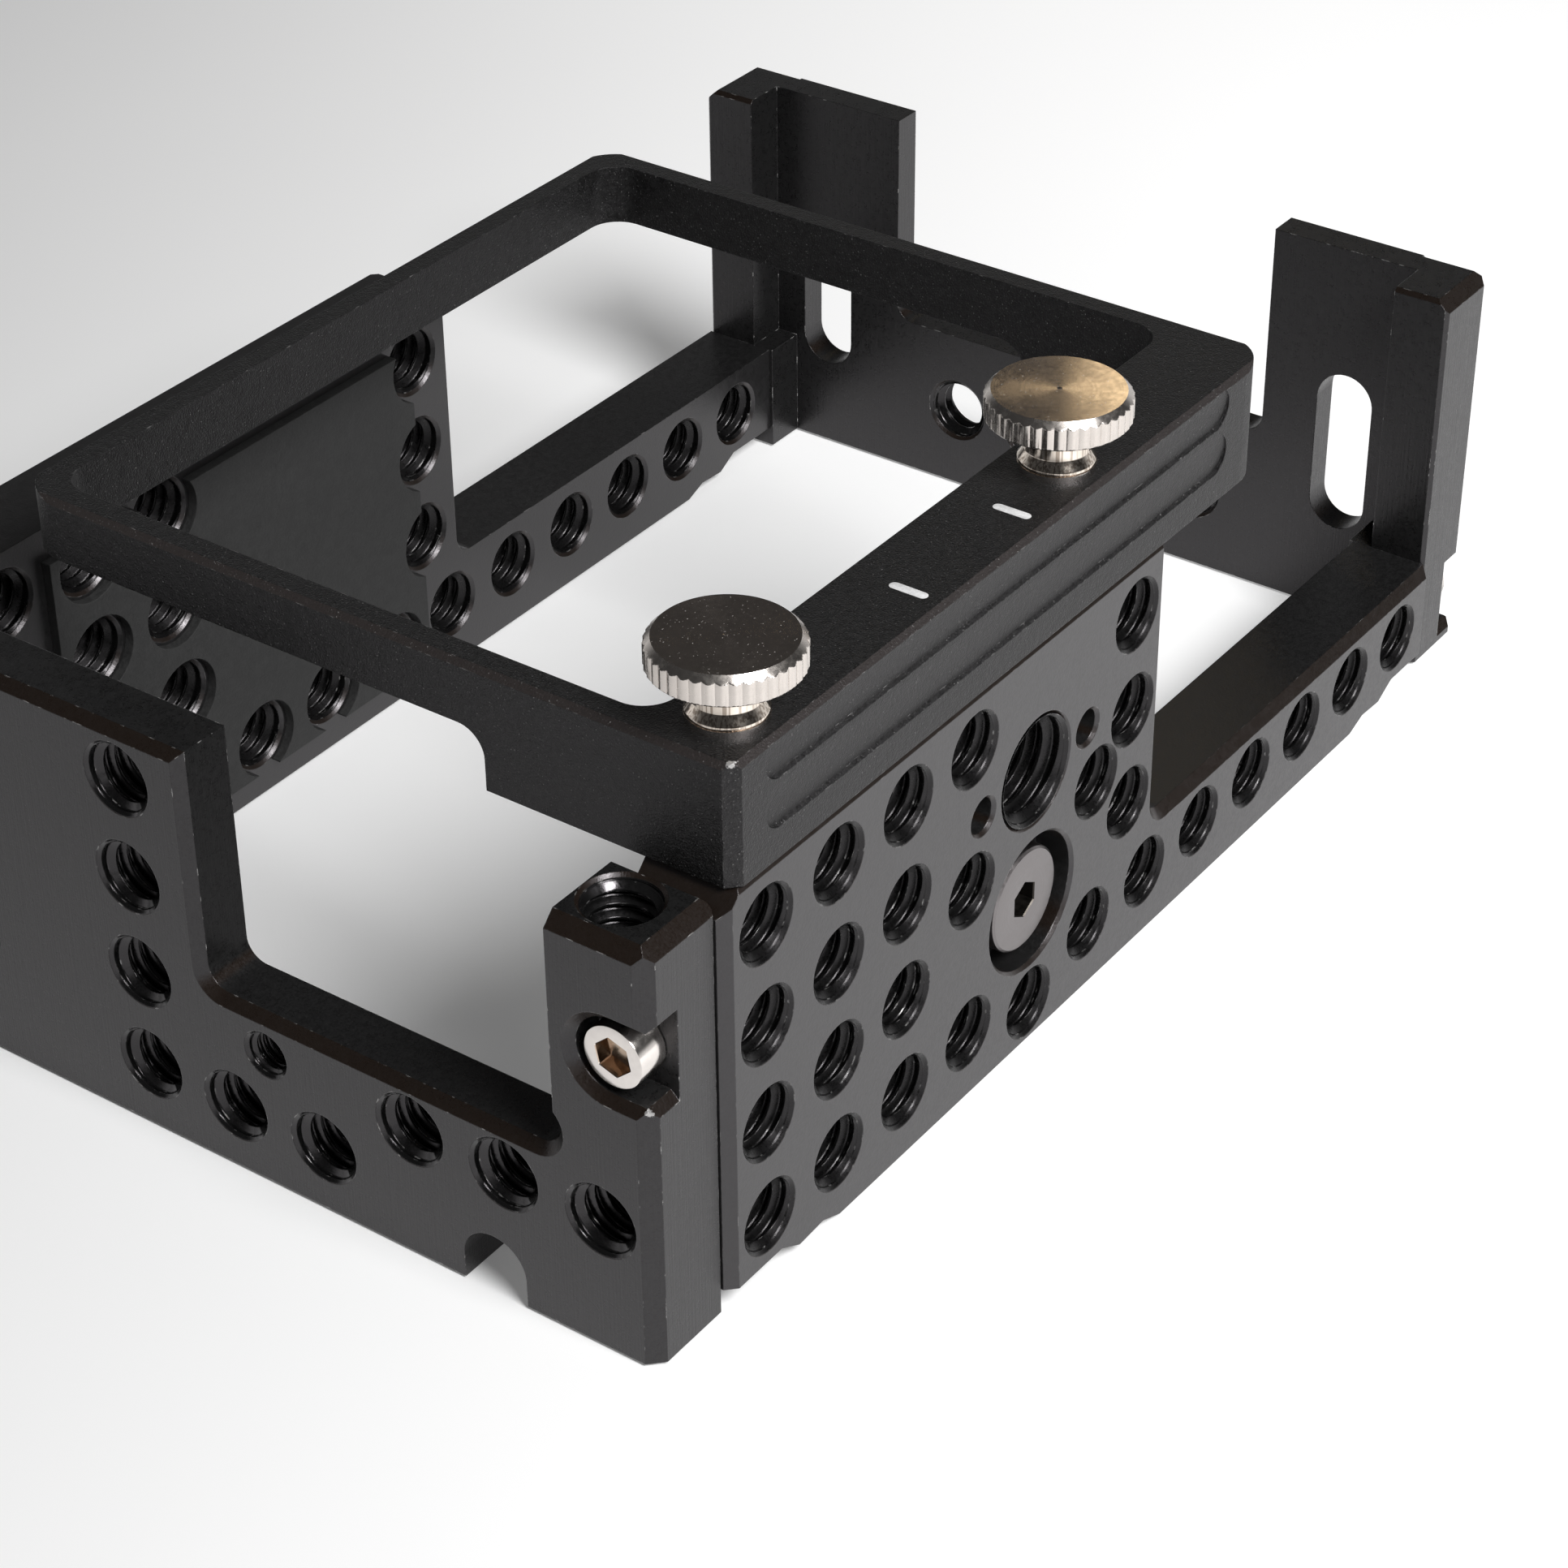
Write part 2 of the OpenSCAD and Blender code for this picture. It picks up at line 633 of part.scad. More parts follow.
// Places a corner piece at one of the four corners
module at_corner(right, top) {
    translate([right * cage_w, top * cage_h, 0]) mirror([right, 0, 0]) mirror([0, top, 0])
        children();
}

module bottom_left_cap_screw() {
    color("gainsboro") in_frame() at_corner(0, 0) cap_screw(cap_z);
}
module bottom_right_cap_screw() {
    color("gainsboro") in_frame() at_corner(1, 0) cap_screw(strip_cap_z);
}
module top_left_cap_screw() {
    color("gainsboro") in_frame() at_corner(0, 1) cap_screw(cap_z);
}
module top_right_cap_screw() {
    color("gainsboro") in_frame() at_corner(1, 1) cap_screw(strip_cap_z);
}

// Dowel pin across the joint of a post and a plate
module dowel(z) {
    translate([post_w - dowel_l / 2, cap_y, z]) along_x() rotate_extrude() polygon([
        [0, 0], [dowel_d / 2 - tip_bevel, 0], [dowel_d / 2, tip_bevel],
        [dowel_d / 2, dowel_l - tip_bevel], [dowel_d / 2 - tip_bevel, dowel_l], [0, dowel_l]]);
}

module bottom_left_dowel() {
    color("silver") in_frame() at_corner(0, 0) dowel(dowel_z);
}
module bottom_right_dowel() {
    color("silver") in_frame() at_corner(1, 0) dowel(strip_dowel_z);
}
module top_left_dowel() {
    color("silver") in_frame() at_corner(0, 1) dowel(dowel_z);
}
module top_right_dowel() {
    color("silver") in_frame() at_corner(1, 1) dowel(strip_dowel_z);
}

// Screw that holds the camera, its head outwards in the base plate's counterbore
module camera_screw() {
    neck = camera_thread_d * 0.76;
    tip = counterbore_h - plate_t - pad_t - camera_reach;
    color("tan") in_frame() translate([camera_x, counterbore_h, camera_z]) against_y() difference() {
        rotate_extrude() polygon([
            [0, tip], [camera_thread_d / 2 - tip_bevel, tip],
            [camera_thread_d / 2, tip + tip_bevel], [camera_thread_d / 2, tip + camera_thread_l],
            [neck / 2, tip + camera_thread_l], [neck / 2, camera_washer_t],
            [camera_head_d / 2, camera_washer_t],
            [camera_head_d / 2, camera_washer_t + camera_head_h - tip_bevel],
            [camera_head_d / 2 - tip_bevel, camera_washer_t + camera_head_h],
            [0, camera_washer_t + camera_head_h]]);
        translate([0, 0, camera_washer_t + camera_head_h / 3])
            cylinder(d = camera_key * 2 / sqrt(3), h = camera_head_h + over, $fn = 6);
    }
}

// Washer kept on the camera screw's neck
module camera_screw_washer() {
    color("black") in_frame() translate([camera_x, counterbore_h, camera_z]) against_y()
        difference() {
            cylinder(d = camera_head_d - 2 * tip_bevel, h = camera_washer_t);
            translate([0, 0, -over])
                cylinder(d = camera_thread_d * 0.76 + 2 * fit, h = camera_washer_t + 2 * over);
        }
}

// Rubber pad on the inner face of a plate, open round the accessory holes
module pad(rear, middle, front) {
    difference() {
        translate([pad_x, plate_t, (plate_d - pad_w) / 2]) cube([pad_l, pad_t, pad_w]);
        for (c = rear) pad_hole(c, 3);
        for (c = middle) {
            pad_hole(c, 1);
            pad_hole(c, 2);
        }
        for (c = front) pad_hole(c, 0);
    }
}

// Opening in a pad round one accessory hole
module pad_hole(column, row) {
    translate([column_x + column * pitch, plate_t - over, front_row + row * pitch]) along_y()
        cylinder(d = accessory_d + 4 * mouth_bevel, h = pad_t + 2 * over);
}

module base_pad() {
    color("black") in_frame() difference() {
        pad(rear_row_shares, middle_row_shares, front_row_shares);
        for (s = loose_hole_shares) pad_hole(s[0], s[1]);
        translate([camera_x, plate_t - over, camera_z]) along_y()
            cylinder(d = counterbore_d, h = pad_t + 2 * over);
        translate([tripod_x, plate_t - over, tripod_z]) along_y()
            cylinder(d = tripod_d + 4 * mouth_bevel, h = pad_t + 2 * over);
        for (side = [-1, 1])
            translate([tripod_x + side * locating_span / 2, plate_t - over, tripod_z]) along_y()
                cylinder(d = locating_d + 4 * mouth_bevel, h = pad_t + 2 * over);
    }
}

module top_pad() {
    color("black") in_frame() translate([0, cage_h, 0]) mirror([0, 1, 0])
        pad(top_rear_shares, top_middle_shares, top_front_shares);
}

// Outline of the bracket, seen from the back
module bracket_outline() {
    difference() {
        rounded_square(bracket_w, bracket_h, bracket_r);
        polygon([[-over, -over], [bracket_bevel + over, -over], [-over, bracket_bevel + over]]);
        translate([bracket_wall, bar_w])
            rounded_square(bracket_w - 2 * bracket_wall, bracket_h - bar_w - bracket_wall, opening_r);
    }
    difference() {
        translate([0, 0]) square([bracket_r, bracket_r]);
        polygon([[-over, -over], [bracket_bevel + over, -over], [-over, bracket_bevel + over]]);
    }
}

// Rectangle with four rounded corners, its lower left corner at the origin
module rounded_square(w, h, r) {
    translate([r, 0]) square([w - 2 * r, h]);
    translate([0, r]) square([w, h - 2 * r]);
    for (x = [r, w - r], y = [r, h - r]) translate([x, y]) circle(r);
}

// Finder bracket: a shallow surround with a deep bottom bar, finger grooves and screw holes
module finder_bracket() {
    color("black") in_frame() difference() {
        translate([bracket_inset, 0, bracket_z]) linear_extrude(bracket_d) bracket_outline();
        translate([bracket_inset - over, 0, bracket_z - over]) bracket_step();
        for (s = groove_shares) translate([bracket_inset + (bracket_w - groove_l) * s[0], 0,
            bracket_z + s[1] * bracket_d]) finger_groove();
        translate([tongue_low_x - tongue_gap, bar_y - tongue_t / 2 - tongue_gap, bracket_z - over])
            cube([tongue_l + 2 * tongue_gap, tongue_t + 2 * tongue_gap,
                tongue_h + tongue_gap + over]);
        for (x = [knob_low_x, knob_high_x]) translate([x, bar_y, bracket_top]) {
            translate([0, 0, -bracket_d]) cylinder(d = knob_thread_d + 4 * fit, h = bracket_d + over);
            translate([0, 0, -bracket_d]) cylinder(d = shank_d * 1.5, h = bracket_d - bar_web);
        }
        translate([bracket_inset, 0, bracket_top]) bracket_edges();
    }
}

// Cut that thins the walls past the step, with a rounded inner corner
module bracket_step() {
    r = bracket_wall;
    depth = bracket_d - thin_d + over;
    rotate([90, 0, 90]) linear_extrude(bracket_w + 2 * over) {
        translate([step_y, 0]) square([bracket_h - step_y + over, depth - r]);
        translate([step_y + r, 0]) square([bracket_h - step_y, depth]);
        translate([step_y + r, depth - r]) circle(r);
    }
}

// Bevels along the back edges, which fade out round the rounded corners
module bracket_edges() {
    for (y = [0, bracket_h]) translate([0, y, 0]) bevel_x(bracket_w, bracket_edge);
    for (x = [0, bracket_w]) translate([x, 0, 0]) bevel_y(bracket_h, bracket_edge);
}

// Long shallow groove with round ends for the finger tips, deepest along its front edge
module finger_groove() {
    r = (groove_h + groove_d) / 2;
    intersection() {
        rotate([90, 0, 90]) linear_extrude(groove_l) polygon([
            [-over, -groove_d], [0, -groove_d], [groove_d, 0], [0, groove_h], [-over, groove_h]]);
        translate([0, groove_d, -groove_d]) against_y() linear_extrude(groove_d + over) {
            translate([r, 0]) square([groove_l - 2 * r, 2 * r]);
            for (x = [r, groove_l - r]) translate([x, r]) circle(r);
        }
    }
}

// Knurled thumb screw, standing on its washer at height zero
module thumb_screw() {
    head_low = knob_top - knob_h;
    tip = -bracket_d - bracket_gap + tongue_h - knob_thread_l;
    rotate_extrude() polygon([
        [0, tip], [knob_thread_d / 2 - tip_bevel, tip],
        [knob_thread_d / 2, tip + tip_bevel], [knob_thread_d / 2, tip + knob_thread_l],
        [shank_d / 2, tip + knob_thread_l], [shank_d / 2, washer_t],
        [collar_d / 2, washer_t], [collar_d / 2, washer_t + collar_h],
        [neck_d / 2, washer_t + collar_h + (collar_d - neck_d) / 2],
        [neck_d / 2, head_low + tip_bevel], [0, head_low + tip_bevel]]);
    translate([0, 0, head_low]) intersection() {
        linear_extrude(knob_h) knurl_outline();
        rotate_extrude() polygon([
            [0, 0], [knob_d / 2 - tip_bevel / 2, 0], [knob_d / 2, tip_bevel / 2],
            [knob_d / 2, knob_h - knob_bevel], [knob_d / 2 - knob_bevel, knob_h], [0, knob_h]]);
    }
}

// Round outline of the head, cut all round by the grooves of a straight knurl
module knurl_outline() {
    difference() {
        circle(d = knob_d);
        for (i = [0 : knurl_count - 1]) rotate(i * 360 / knurl_count)
            translate([knob_d / 2, 0]) circle(d = knurl_w);
    }
}

// Places a piece on the bracket's bar at a thumb screw
module on_bar(x) {
    in_frame() translate([x, bar_y, bracket_top]) children();
}

module left_thumb_screw() {
    color("lightgray") on_bar(knob_low_x) thumb_screw();
}
module right_thumb_screw() {
    color("lightgray") on_bar(knob_high_x) thumb_screw();
}

// Washer kept on the thumb screw's shank
module thumb_washer() {
    difference() {
        cylinder(d = collar_d, h = washer_t);
        translate([0, 0, -over]) cylinder(d = shank_d + 2 * fit, h = washer_t + 2 * over);
    }
}

module left_thumb_washer() {
    color("silver") on_bar(knob_low_x) thumb_washer();
}
module right_thumb_washer() {
    color("silver") on_bar(knob_high_x) thumb_washer();
}

// Puts a shape at each shoe screw, pointing into the top plate
module shoe_screw_places() {
    for (x = [shoe_x + shoe_margin, shoe_x + shoe_w - shoe_margin],
         z = [shoe_front + shoe_margin, shoe_front + shoe_l - shoe_margin])
        translate([x, 0, z]) along_y() children();
}

// Accessory shoe let into the top plate, open towards the back
module accessory_shoe() {
    head_d = shoe_screw_d * 2;
    color("silver") in_frame() translate([0, cage_h, 0]) mirror([0, 1, 0]) difference() {
        translate([shoe_x, -shoe_proud, shoe_front])
            cube([shoe_w, shoe_proud + shoe_floor, shoe_l]);
        translate([camera_x - shoe_slot_w / 2, -shoe_slot_h, shoe_front + shoe_lip_t])
            cube([shoe_slot_w, shoe_slot_h, shoe_l]);
        translate([camera_x - shoe_gap_w / 2, -shoe_proud - over, shoe_front - over])
            cube([shoe_gap_w, shoe_lip_t + over + fit, shoe_l + 2 * over]);
        shoe_screw_places() {
            translate([0, 0, -over]) cylinder(d = shoe_screw_d + 2 * fit, h = shoe_floor + 2 * over);
            translate([0, 0, -fit])
                cylinder(d1 = head_d + 2 * fit, d2 = shoe_screw_d, h = head_d / 2 - shoe_screw_d / 2);
        }
    }
}

// Four countersunk screws that hold the shoe
module shoe_screws() {
    head_d = shoe_screw_d * 2;
    color("gray") in_frame() translate([0, cage_h, 0]) mirror([0, 1, 0]) shoe_screw_places()
        difference() {
            rotate_extrude() polygon([
                [0, 0], [head_d / 2 - fit * 2, 0],
                [shoe_screw_d / 2, head_d / 2 - shoe_screw_d / 2 - fit * 2],
                [shoe_screw_d / 2, shoe_screw_l - tip_bevel],
                [shoe_screw_d / 2 - tip_bevel, shoe_screw_l], [0, shoe_screw_l]]);
            translate([0, 0, -over])
                cylinder(d = shoe_screw_d * 0.7, h = shoe_screw_d * 0.4 + over, $fn = 6);
        }
}

base_plate();
top_plate();
left_side_frame();
right_side_frame();
bottom_left_cap_screw();
bottom_right_cap_screw();
top_left_cap_screw();
top_right_cap_screw();
bottom_left_dowel();
bottom_right_dowel();
top_left_dowel();
top_right_dowel();
camera_screw();
camera_screw_washer();
base_pad();
top_pad();
finder_bracket();
left_thumb_screw();
right_thumb_screw();
left_thumb_washer();
right_thumb_washer();
accessory_shoe();
shoe_screws();
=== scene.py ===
# %% [markdown]
# # A machined camera cage
# The cage is four black anodised plates screwed into a frame, with a bracket behind the base plate
# and two knurled thumb screws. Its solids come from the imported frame, already at their real size
# and place. This lesson dresses them: it gives each metal its finish, cuts the threads that the
# solids leave out, turns the knobs and screws properly, and sets up the light and the camera.

# %% Load the frame
import math

import bmesh
import bpy
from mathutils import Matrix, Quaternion, Vector


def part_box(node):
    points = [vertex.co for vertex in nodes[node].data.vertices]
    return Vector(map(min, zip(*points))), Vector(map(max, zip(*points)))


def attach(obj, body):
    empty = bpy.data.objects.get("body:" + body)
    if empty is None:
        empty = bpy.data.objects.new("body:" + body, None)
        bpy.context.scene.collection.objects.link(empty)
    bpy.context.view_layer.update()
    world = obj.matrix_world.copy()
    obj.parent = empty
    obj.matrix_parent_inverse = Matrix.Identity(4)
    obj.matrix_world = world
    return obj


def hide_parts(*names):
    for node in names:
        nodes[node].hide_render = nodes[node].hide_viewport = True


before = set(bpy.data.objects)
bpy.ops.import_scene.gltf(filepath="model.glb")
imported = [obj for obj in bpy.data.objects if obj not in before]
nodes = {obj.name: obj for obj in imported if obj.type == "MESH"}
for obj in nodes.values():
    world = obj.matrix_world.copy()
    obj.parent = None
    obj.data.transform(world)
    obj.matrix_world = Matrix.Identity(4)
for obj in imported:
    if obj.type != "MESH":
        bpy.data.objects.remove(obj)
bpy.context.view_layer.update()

# %% [markdown]
# A machinist measures a plate from its faces, in millimetres. The helper below does the same: x
# runs from the cage's left face, y from the base face and z from the front face, on which the cage
# lies. It reads where those faces are from the frame, so every later number is a plain dimension.

# %% Millimetres from the cage's own faces
MM = 0.001
ORIGIN = Vector((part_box("left_side_frame")[0][0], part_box("base_plate")[0][1], 0))


def place(x, y, z):
    """The point x, y, z millimetres from the cage's left, base and front faces."""
    return ORIGIN + Vector((x, y, z)) * MM


CAGE_W, CAGE_H = 133, 88
PLATE_T, POST_W, WALL_T, HAND_WALL_T = 8.6, 8.6, 5.5, 4
BRACKET_BACK = 51
print("cage's left front corner at", [round(v, 4) for v in place(0, 0, 0)])

# %% [markdown]
# The camera comes first, because every choice of finish is judged through it. A photograph's
# viewpoint can be worked back from a grid of holes at a known pitch: only one place, direction and
# lens make the grid look as it does. The lens here is a long one, about 35 cm from the middle of
# the cage, with the camera tipped half a degree.

# %% Camera
camera_data = bpy.data.cameras.new("photo_camera")
camera = bpy.data.objects.new("photo_camera", camera_data)
bpy.context.scene.collection.objects.link(camera)
bpy.context.scene.camera = camera
camera_data.sensor_width = 36
camera_data.lens = 87.91
camera_data.clip_start, camera_data.clip_end = 0.01, 20
VIEW = Vector((0.67146, 0.48313, -0.56189))
TILT = math.radians(-0.5)
camera.location = place(-172.44, -135.65, 204.07)
camera.rotation_mode = "QUATERNION"
camera.rotation_quaternion = VIEW.to_track_quat("-Z", "Y") @ Quaternion((0, 0, 1), TILT)
print("camera at", [round(v, 4) for v in camera.location])

# %% [markdown]
# ## Tools for the finishes
# Materials are built from nodes. Two small helpers keep that readable: one adds a node and fills
# or links its sockets, the other starts a node group with named inputs and outputs. A group is the
# right form for an effect that several metals share, such as grain or worn edges.

# %% Node helpers
def add(tree, kind, inputs=None, **settings):
    """A new node in the tree; inputs are plain values or sockets to link from."""
    made = tree.nodes.new(kind)
    for name, value in settings.items():
        setattr(made, name, value)
    for name, value in (inputs or {}).items():
        if isinstance(value, bpy.types.NodeSocket):
            tree.links.new(value, made.inputs[name])
        else:
            made.inputs[name].default_value = value
    return made


def maths(tree, operation, a, b=0.0, clamp=False):
    """The output of one Math node."""
    made = add(tree, "ShaderNodeMath", {0: a, 1: b}, operation=operation, use_clamp=clamp)
    return made.outputs[0]


def fade(tree, value, low, high, to_low=0.0, to_high=1.0):
    """The value mapped smoothly from low..high to to_low..to_high."""
    inputs = {"Value": value, "From Min": low, "From Max": high, "To Min": to_low,
              "To Max": to_high}
    return add(tree, "ShaderNodeMapRange", inputs, interpolation_type="SMOOTHSTEP").outputs[0]


def new_group(name, inputs, outputs):
    """An empty node group; inputs are (name, kind, value), outputs are (name, kind)."""
    tree = bpy.data.node_groups.new(name, "ShaderNodeTree")
    for label, kind, value in inputs:
        socket = tree.interface.new_socket(label, in_out="INPUT", socket_type="NodeSocket" + kind)
        socket.default_value = value
    for label, kind in outputs:
        tree.interface.new_socket(label, in_out="OUTPUT", socket_type="NodeSocket" + kind)
    return tree, tree.nodes.new("NodeGroupInput").outputs, tree.nodes.new("NodeGroupOutput")


def in_mm(tree):
    """The surface point in the piece's own millimetres."""
    point = add(tree, "ShaderNodeTexCoord").outputs["Object"]
    scaled = add(tree, "ShaderNodeVectorMath", {0: point, "Scale": 1 / MM}, operation="SCALE")
    return scaled.outputs[0]


print("node helpers ready")

# %% [markdown]
# Blasted and anodised aluminium has a fine grain: tiny pits that catch the light one by one. Two
# sizes of noise make it. The group gives the height for a bump and a mask of the few pits that
# sparkle.

# %% Grain group
grain, given, result = new_group(
    "blasted_grain",
    [("Grains per mm", "Float", 7.0), ("Sparkle", "Float", 0.7)],
    [("Height", "Float"), ("Sparkle", "Float")])
point = in_mm(grain)
fine = add(grain, "ShaderNodeTexNoise",
           {"Vector": point, "Scale": given["Grains per mm"], "Detail": 2.0}).outputs[0]
coarse_scale = maths(grain, "MULTIPLY", given["Grains per mm"], 0.31)
coarse = add(grain, "ShaderNodeTexNoise",
             {"Vector": point, "Scale": coarse_scale, "Detail": 1.0}).outputs[0]
grain.links.new(maths(grain, "ADD", fine, maths(grain, "MULTIPLY", coarse, 0.6)),
                result.inputs["Height"])
above = maths(grain, "SUBTRACT", fine, given["Sparkle"])
grain.links.new(maths(grain, "MULTIPLY", above, 12.0, clamp=True), result.inputs["Sparkle"])
print("group:", grain.name)

# %% [markdown]
# A cutter leaves fine parallel lines. Stretching a noise along the direction of travel gives lines
# that start, stop and vary, where a plain wave would look printed.

# %% Cutter lines group
cutter, given, result = new_group(
    "cutter_lines", [("Stretch", "Vector", (6.0, 6.0, 0.12))], [("Height", "Float")])
stretched = add(cutter, "ShaderNodeVectorMath", {0: in_mm(cutter), 1: given["Stretch"]},
                operation="MULTIPLY").outputs[0]
lines = add(cutter, "ShaderNodeTexNoise", {"Vector": stretched, "Scale": 1.0, "Detail": 3.0})
cutter.links.new(lines.outputs[0], result.inputs["Height"])
print("group:", cutter.name)

# %% [markdown]
# A turned face carries rings round its middle. They depend only on the distance from the axis, so
# the group measures that distance in the piece's own X and Y, and reads a noise along it.

# %% Turning rings group
turning, given, result = new_group(
    "turning_rings", [("Rings per mm", "Float", 9.0)], [("Height", "Float")])
split = add(turning, "ShaderNodeSeparateXYZ", {0: in_mm(turning)}).outputs
flat = add(turning, "ShaderNodeCombineXYZ", {"X": split["X"], "Y": split["Y"]}).outputs[0]
radius = add(turning, "ShaderNodeVectorMath", {0: flat}, operation="LENGTH").outputs["Value"]
along = maths(turning, "MULTIPLY", radius, given["Rings per mm"])
rings = add(turning, "ShaderNodeTexNoise", {"W": along, "Scale": 1.0, "Detail": 2.0},
            noise_dimensions="1D")
turning.links.new(rings.outputs[0], result.inputs["Height"])
print("group:", turning.name)

# %% [markdown]
# No real edge is perfectly sharp, and a black coat thins first where hands rub. Cycles' Bevel node
# gives the normal that a slightly rounded edge would have. Used as the normal it softens every
# corner. Its difference from the true normal marks the edges, and a noise breaks the wear up.

# %% Soft and worn edges group
edges, given, result = new_group(
    "soft_edges",
    [("Radius", "Float", 0.00012), ("Wear", "Float", 0.5), ("Patches per mm", "Float", 1.1)],
    [("Normal", "Vector"), ("Wear", "Float")])
rounded = add(edges, "ShaderNodeBevel", {"Radius": given["Radius"]}, samples=6).outputs[0]
true_normal = add(edges, "ShaderNodeNewGeometry").outputs["Normal"]
turned_by = add(edges, "ShaderNodeVectorMath", {0: rounded, 1: true_normal},
                operation="DOT_PRODUCT").outputs["Value"]
edge = fade(edges, turned_by, 0.995, 0.9)
patches = add(edges, "ShaderNodeTexNoise",
              {"Vector": in_mm(edges), "Scale": given["Patches per mm"], "Detail": 4.0}).outputs[0]
worn = fade(edges, patches, 0.56, 0.7)
worn = maths(edges, "MULTIPLY", maths(edges, "MULTIPLY", worn, edge), given["Wear"], clamp=True)
edges.links.new(rounded, result.inputs["Normal"])
edges.links.new(worn, result.inputs["Wear"])
print("group:", edges.name)

# %% [markdown]
# Bevels that lean upwards get a tone of their own, mostly browner: a painted sheen for the light
# they mirror. Every large face of the cage points along X, Y or Z, so a face that points between
# them is a bevel. The group marks the leaning ones from their normal, down to a given height above
# the floor, in millimetres.

# %% Painted bevel sheen group
bevels, given, result = new_group(
    "leaning_bevel_sheen", [("Sharpness", "Float", 0.9), ("Above", "Float", -10.0)],
    [("Mask", "Float")])
normal = add(bevels, "ShaderNodeTexCoord").outputs["Normal"]
size = add(bevels, "ShaderNodeVectorMath", {0: normal}, operation="ABSOLUTE").outputs[0]
part = add(bevels, "ShaderNodeSeparateXYZ", {0: size}).outputs
largest = maths(bevels, "MAXIMUM", maths(bevels, "MAXIMUM", part["X"], part["Y"]), part["Z"])
between = maths(bevels, "MULTIPLY", maths(bevels, "SUBTRACT", given["Sharpness"], largest), 8.0,
                clamp=True)
leaning = maths(bevels, "MULTIPLY", fade(bevels, part["Z"], 0.2, 0.45), between)
height = add(bevels, "ShaderNodeSeparateXYZ", {0: in_mm(bevels)}).outputs["Z"]
high = maths(bevels, "GREATER_THAN", height, given["Above"])
bevels.links.new(maths(bevels, "MULTIPLY", leaning, high), result.inputs["Mask"])
print("group:", bevels.name)

# %% [markdown]
# A knock takes the coat off down to bright metal at one spot. The group marks a small ragged patch
# round a given point, so the same effect can sit on any corner that was knocked.

# %% Knock group
knock, given, result = new_group(
    "knocked_spot", [("Place", "Vector", (0.0, 0.0, 0.0)), ("Size", "Float", 0.6)],
    [("Mask", "Float")])
point = in_mm(knock)
away = add(knock, "ShaderNodeVectorMath", {0: point, 1: given["Place"]},
           operation="DISTANCE").outputs["Value"]
ragged = add(knock, "ShaderNodeTexNoise",
             {"Vector": point, "Scale": 3.0, "Detail": 3.0}).outputs[0]
reach = maths(knock, "MULTIPLY", given["Size"], maths(knock, "MULTIPLY", ragged, 2.0))
inside = maths(knock, "SUBTRACT", reach, away)
knock.links.new(maths(knock, "MULTIPLY", inside, 9.0, clamp=True), result.inputs["Mask"])
print("group:", knock.name)

# %% [markdown]
# ## The finishes
# Black anodising is a thin clear layer over dyed metal, so it is modelled as a dark, slightly
# glossy surface with no metallic tint. The plates are satin, the side frames show the cutter's
# lines and the bracket is blasted and duller. The threads, and the sleeves that line the bores, are
# the darkest: a painted shade for the inside of the holes. Bevels that lean upwards carry a painted
# sheen. All of them take the same recipe with their own values.

# %% Black anodised metals
def use(tree, group, **inputs):
    """The outputs of a group placed in a tree, with its named inputs set."""
    made = add(tree, "ShaderNodeGroup", node_tree=group)
    for name, value in inputs.items():
        made.inputs[name.replace("_", " ")].default_value = value
    return made.outputs


def mix_colour(tree, amount, a, b):
    """Colour a, going to colour b as the amount rises."""
    mixed = add(tree, "ShaderNodeMix", data_type="RGBA")
    for socket, value in zip((mixed.inputs[0], mixed.inputs[6], mixed.inputs[7]), (amount, a, b)):
        if isinstance(value, bpy.types.NodeSocket):
            tree.links.new(value, socket)
        else:
            socket.default_value = value
    return mixed.outputs[2]


def new_material(name):
    """A node material and its shader."""
    material = bpy.data.materials.new(name)
    material.use_nodes = True
    return material, material.node_tree, material.node_tree.nodes["Principled BSDF"]


def grey(value):
    """A grey as a colour."""
    return (value, value, value, 1)


BARE = (0.72, 0.71, 0.70, 1)
# A browner tone painted on bevels that lean upwards: a painted sheen.
SHEEN_BROWN = (0.010, 0.0065, 0.0045, 1)
DYE_GLINT = (1, 0.955, 0.99, 1)
SPARKLE_SHARE, KNOCK_SHARE, CUTTER_SHARE = 0.3, 0.6, 1.5


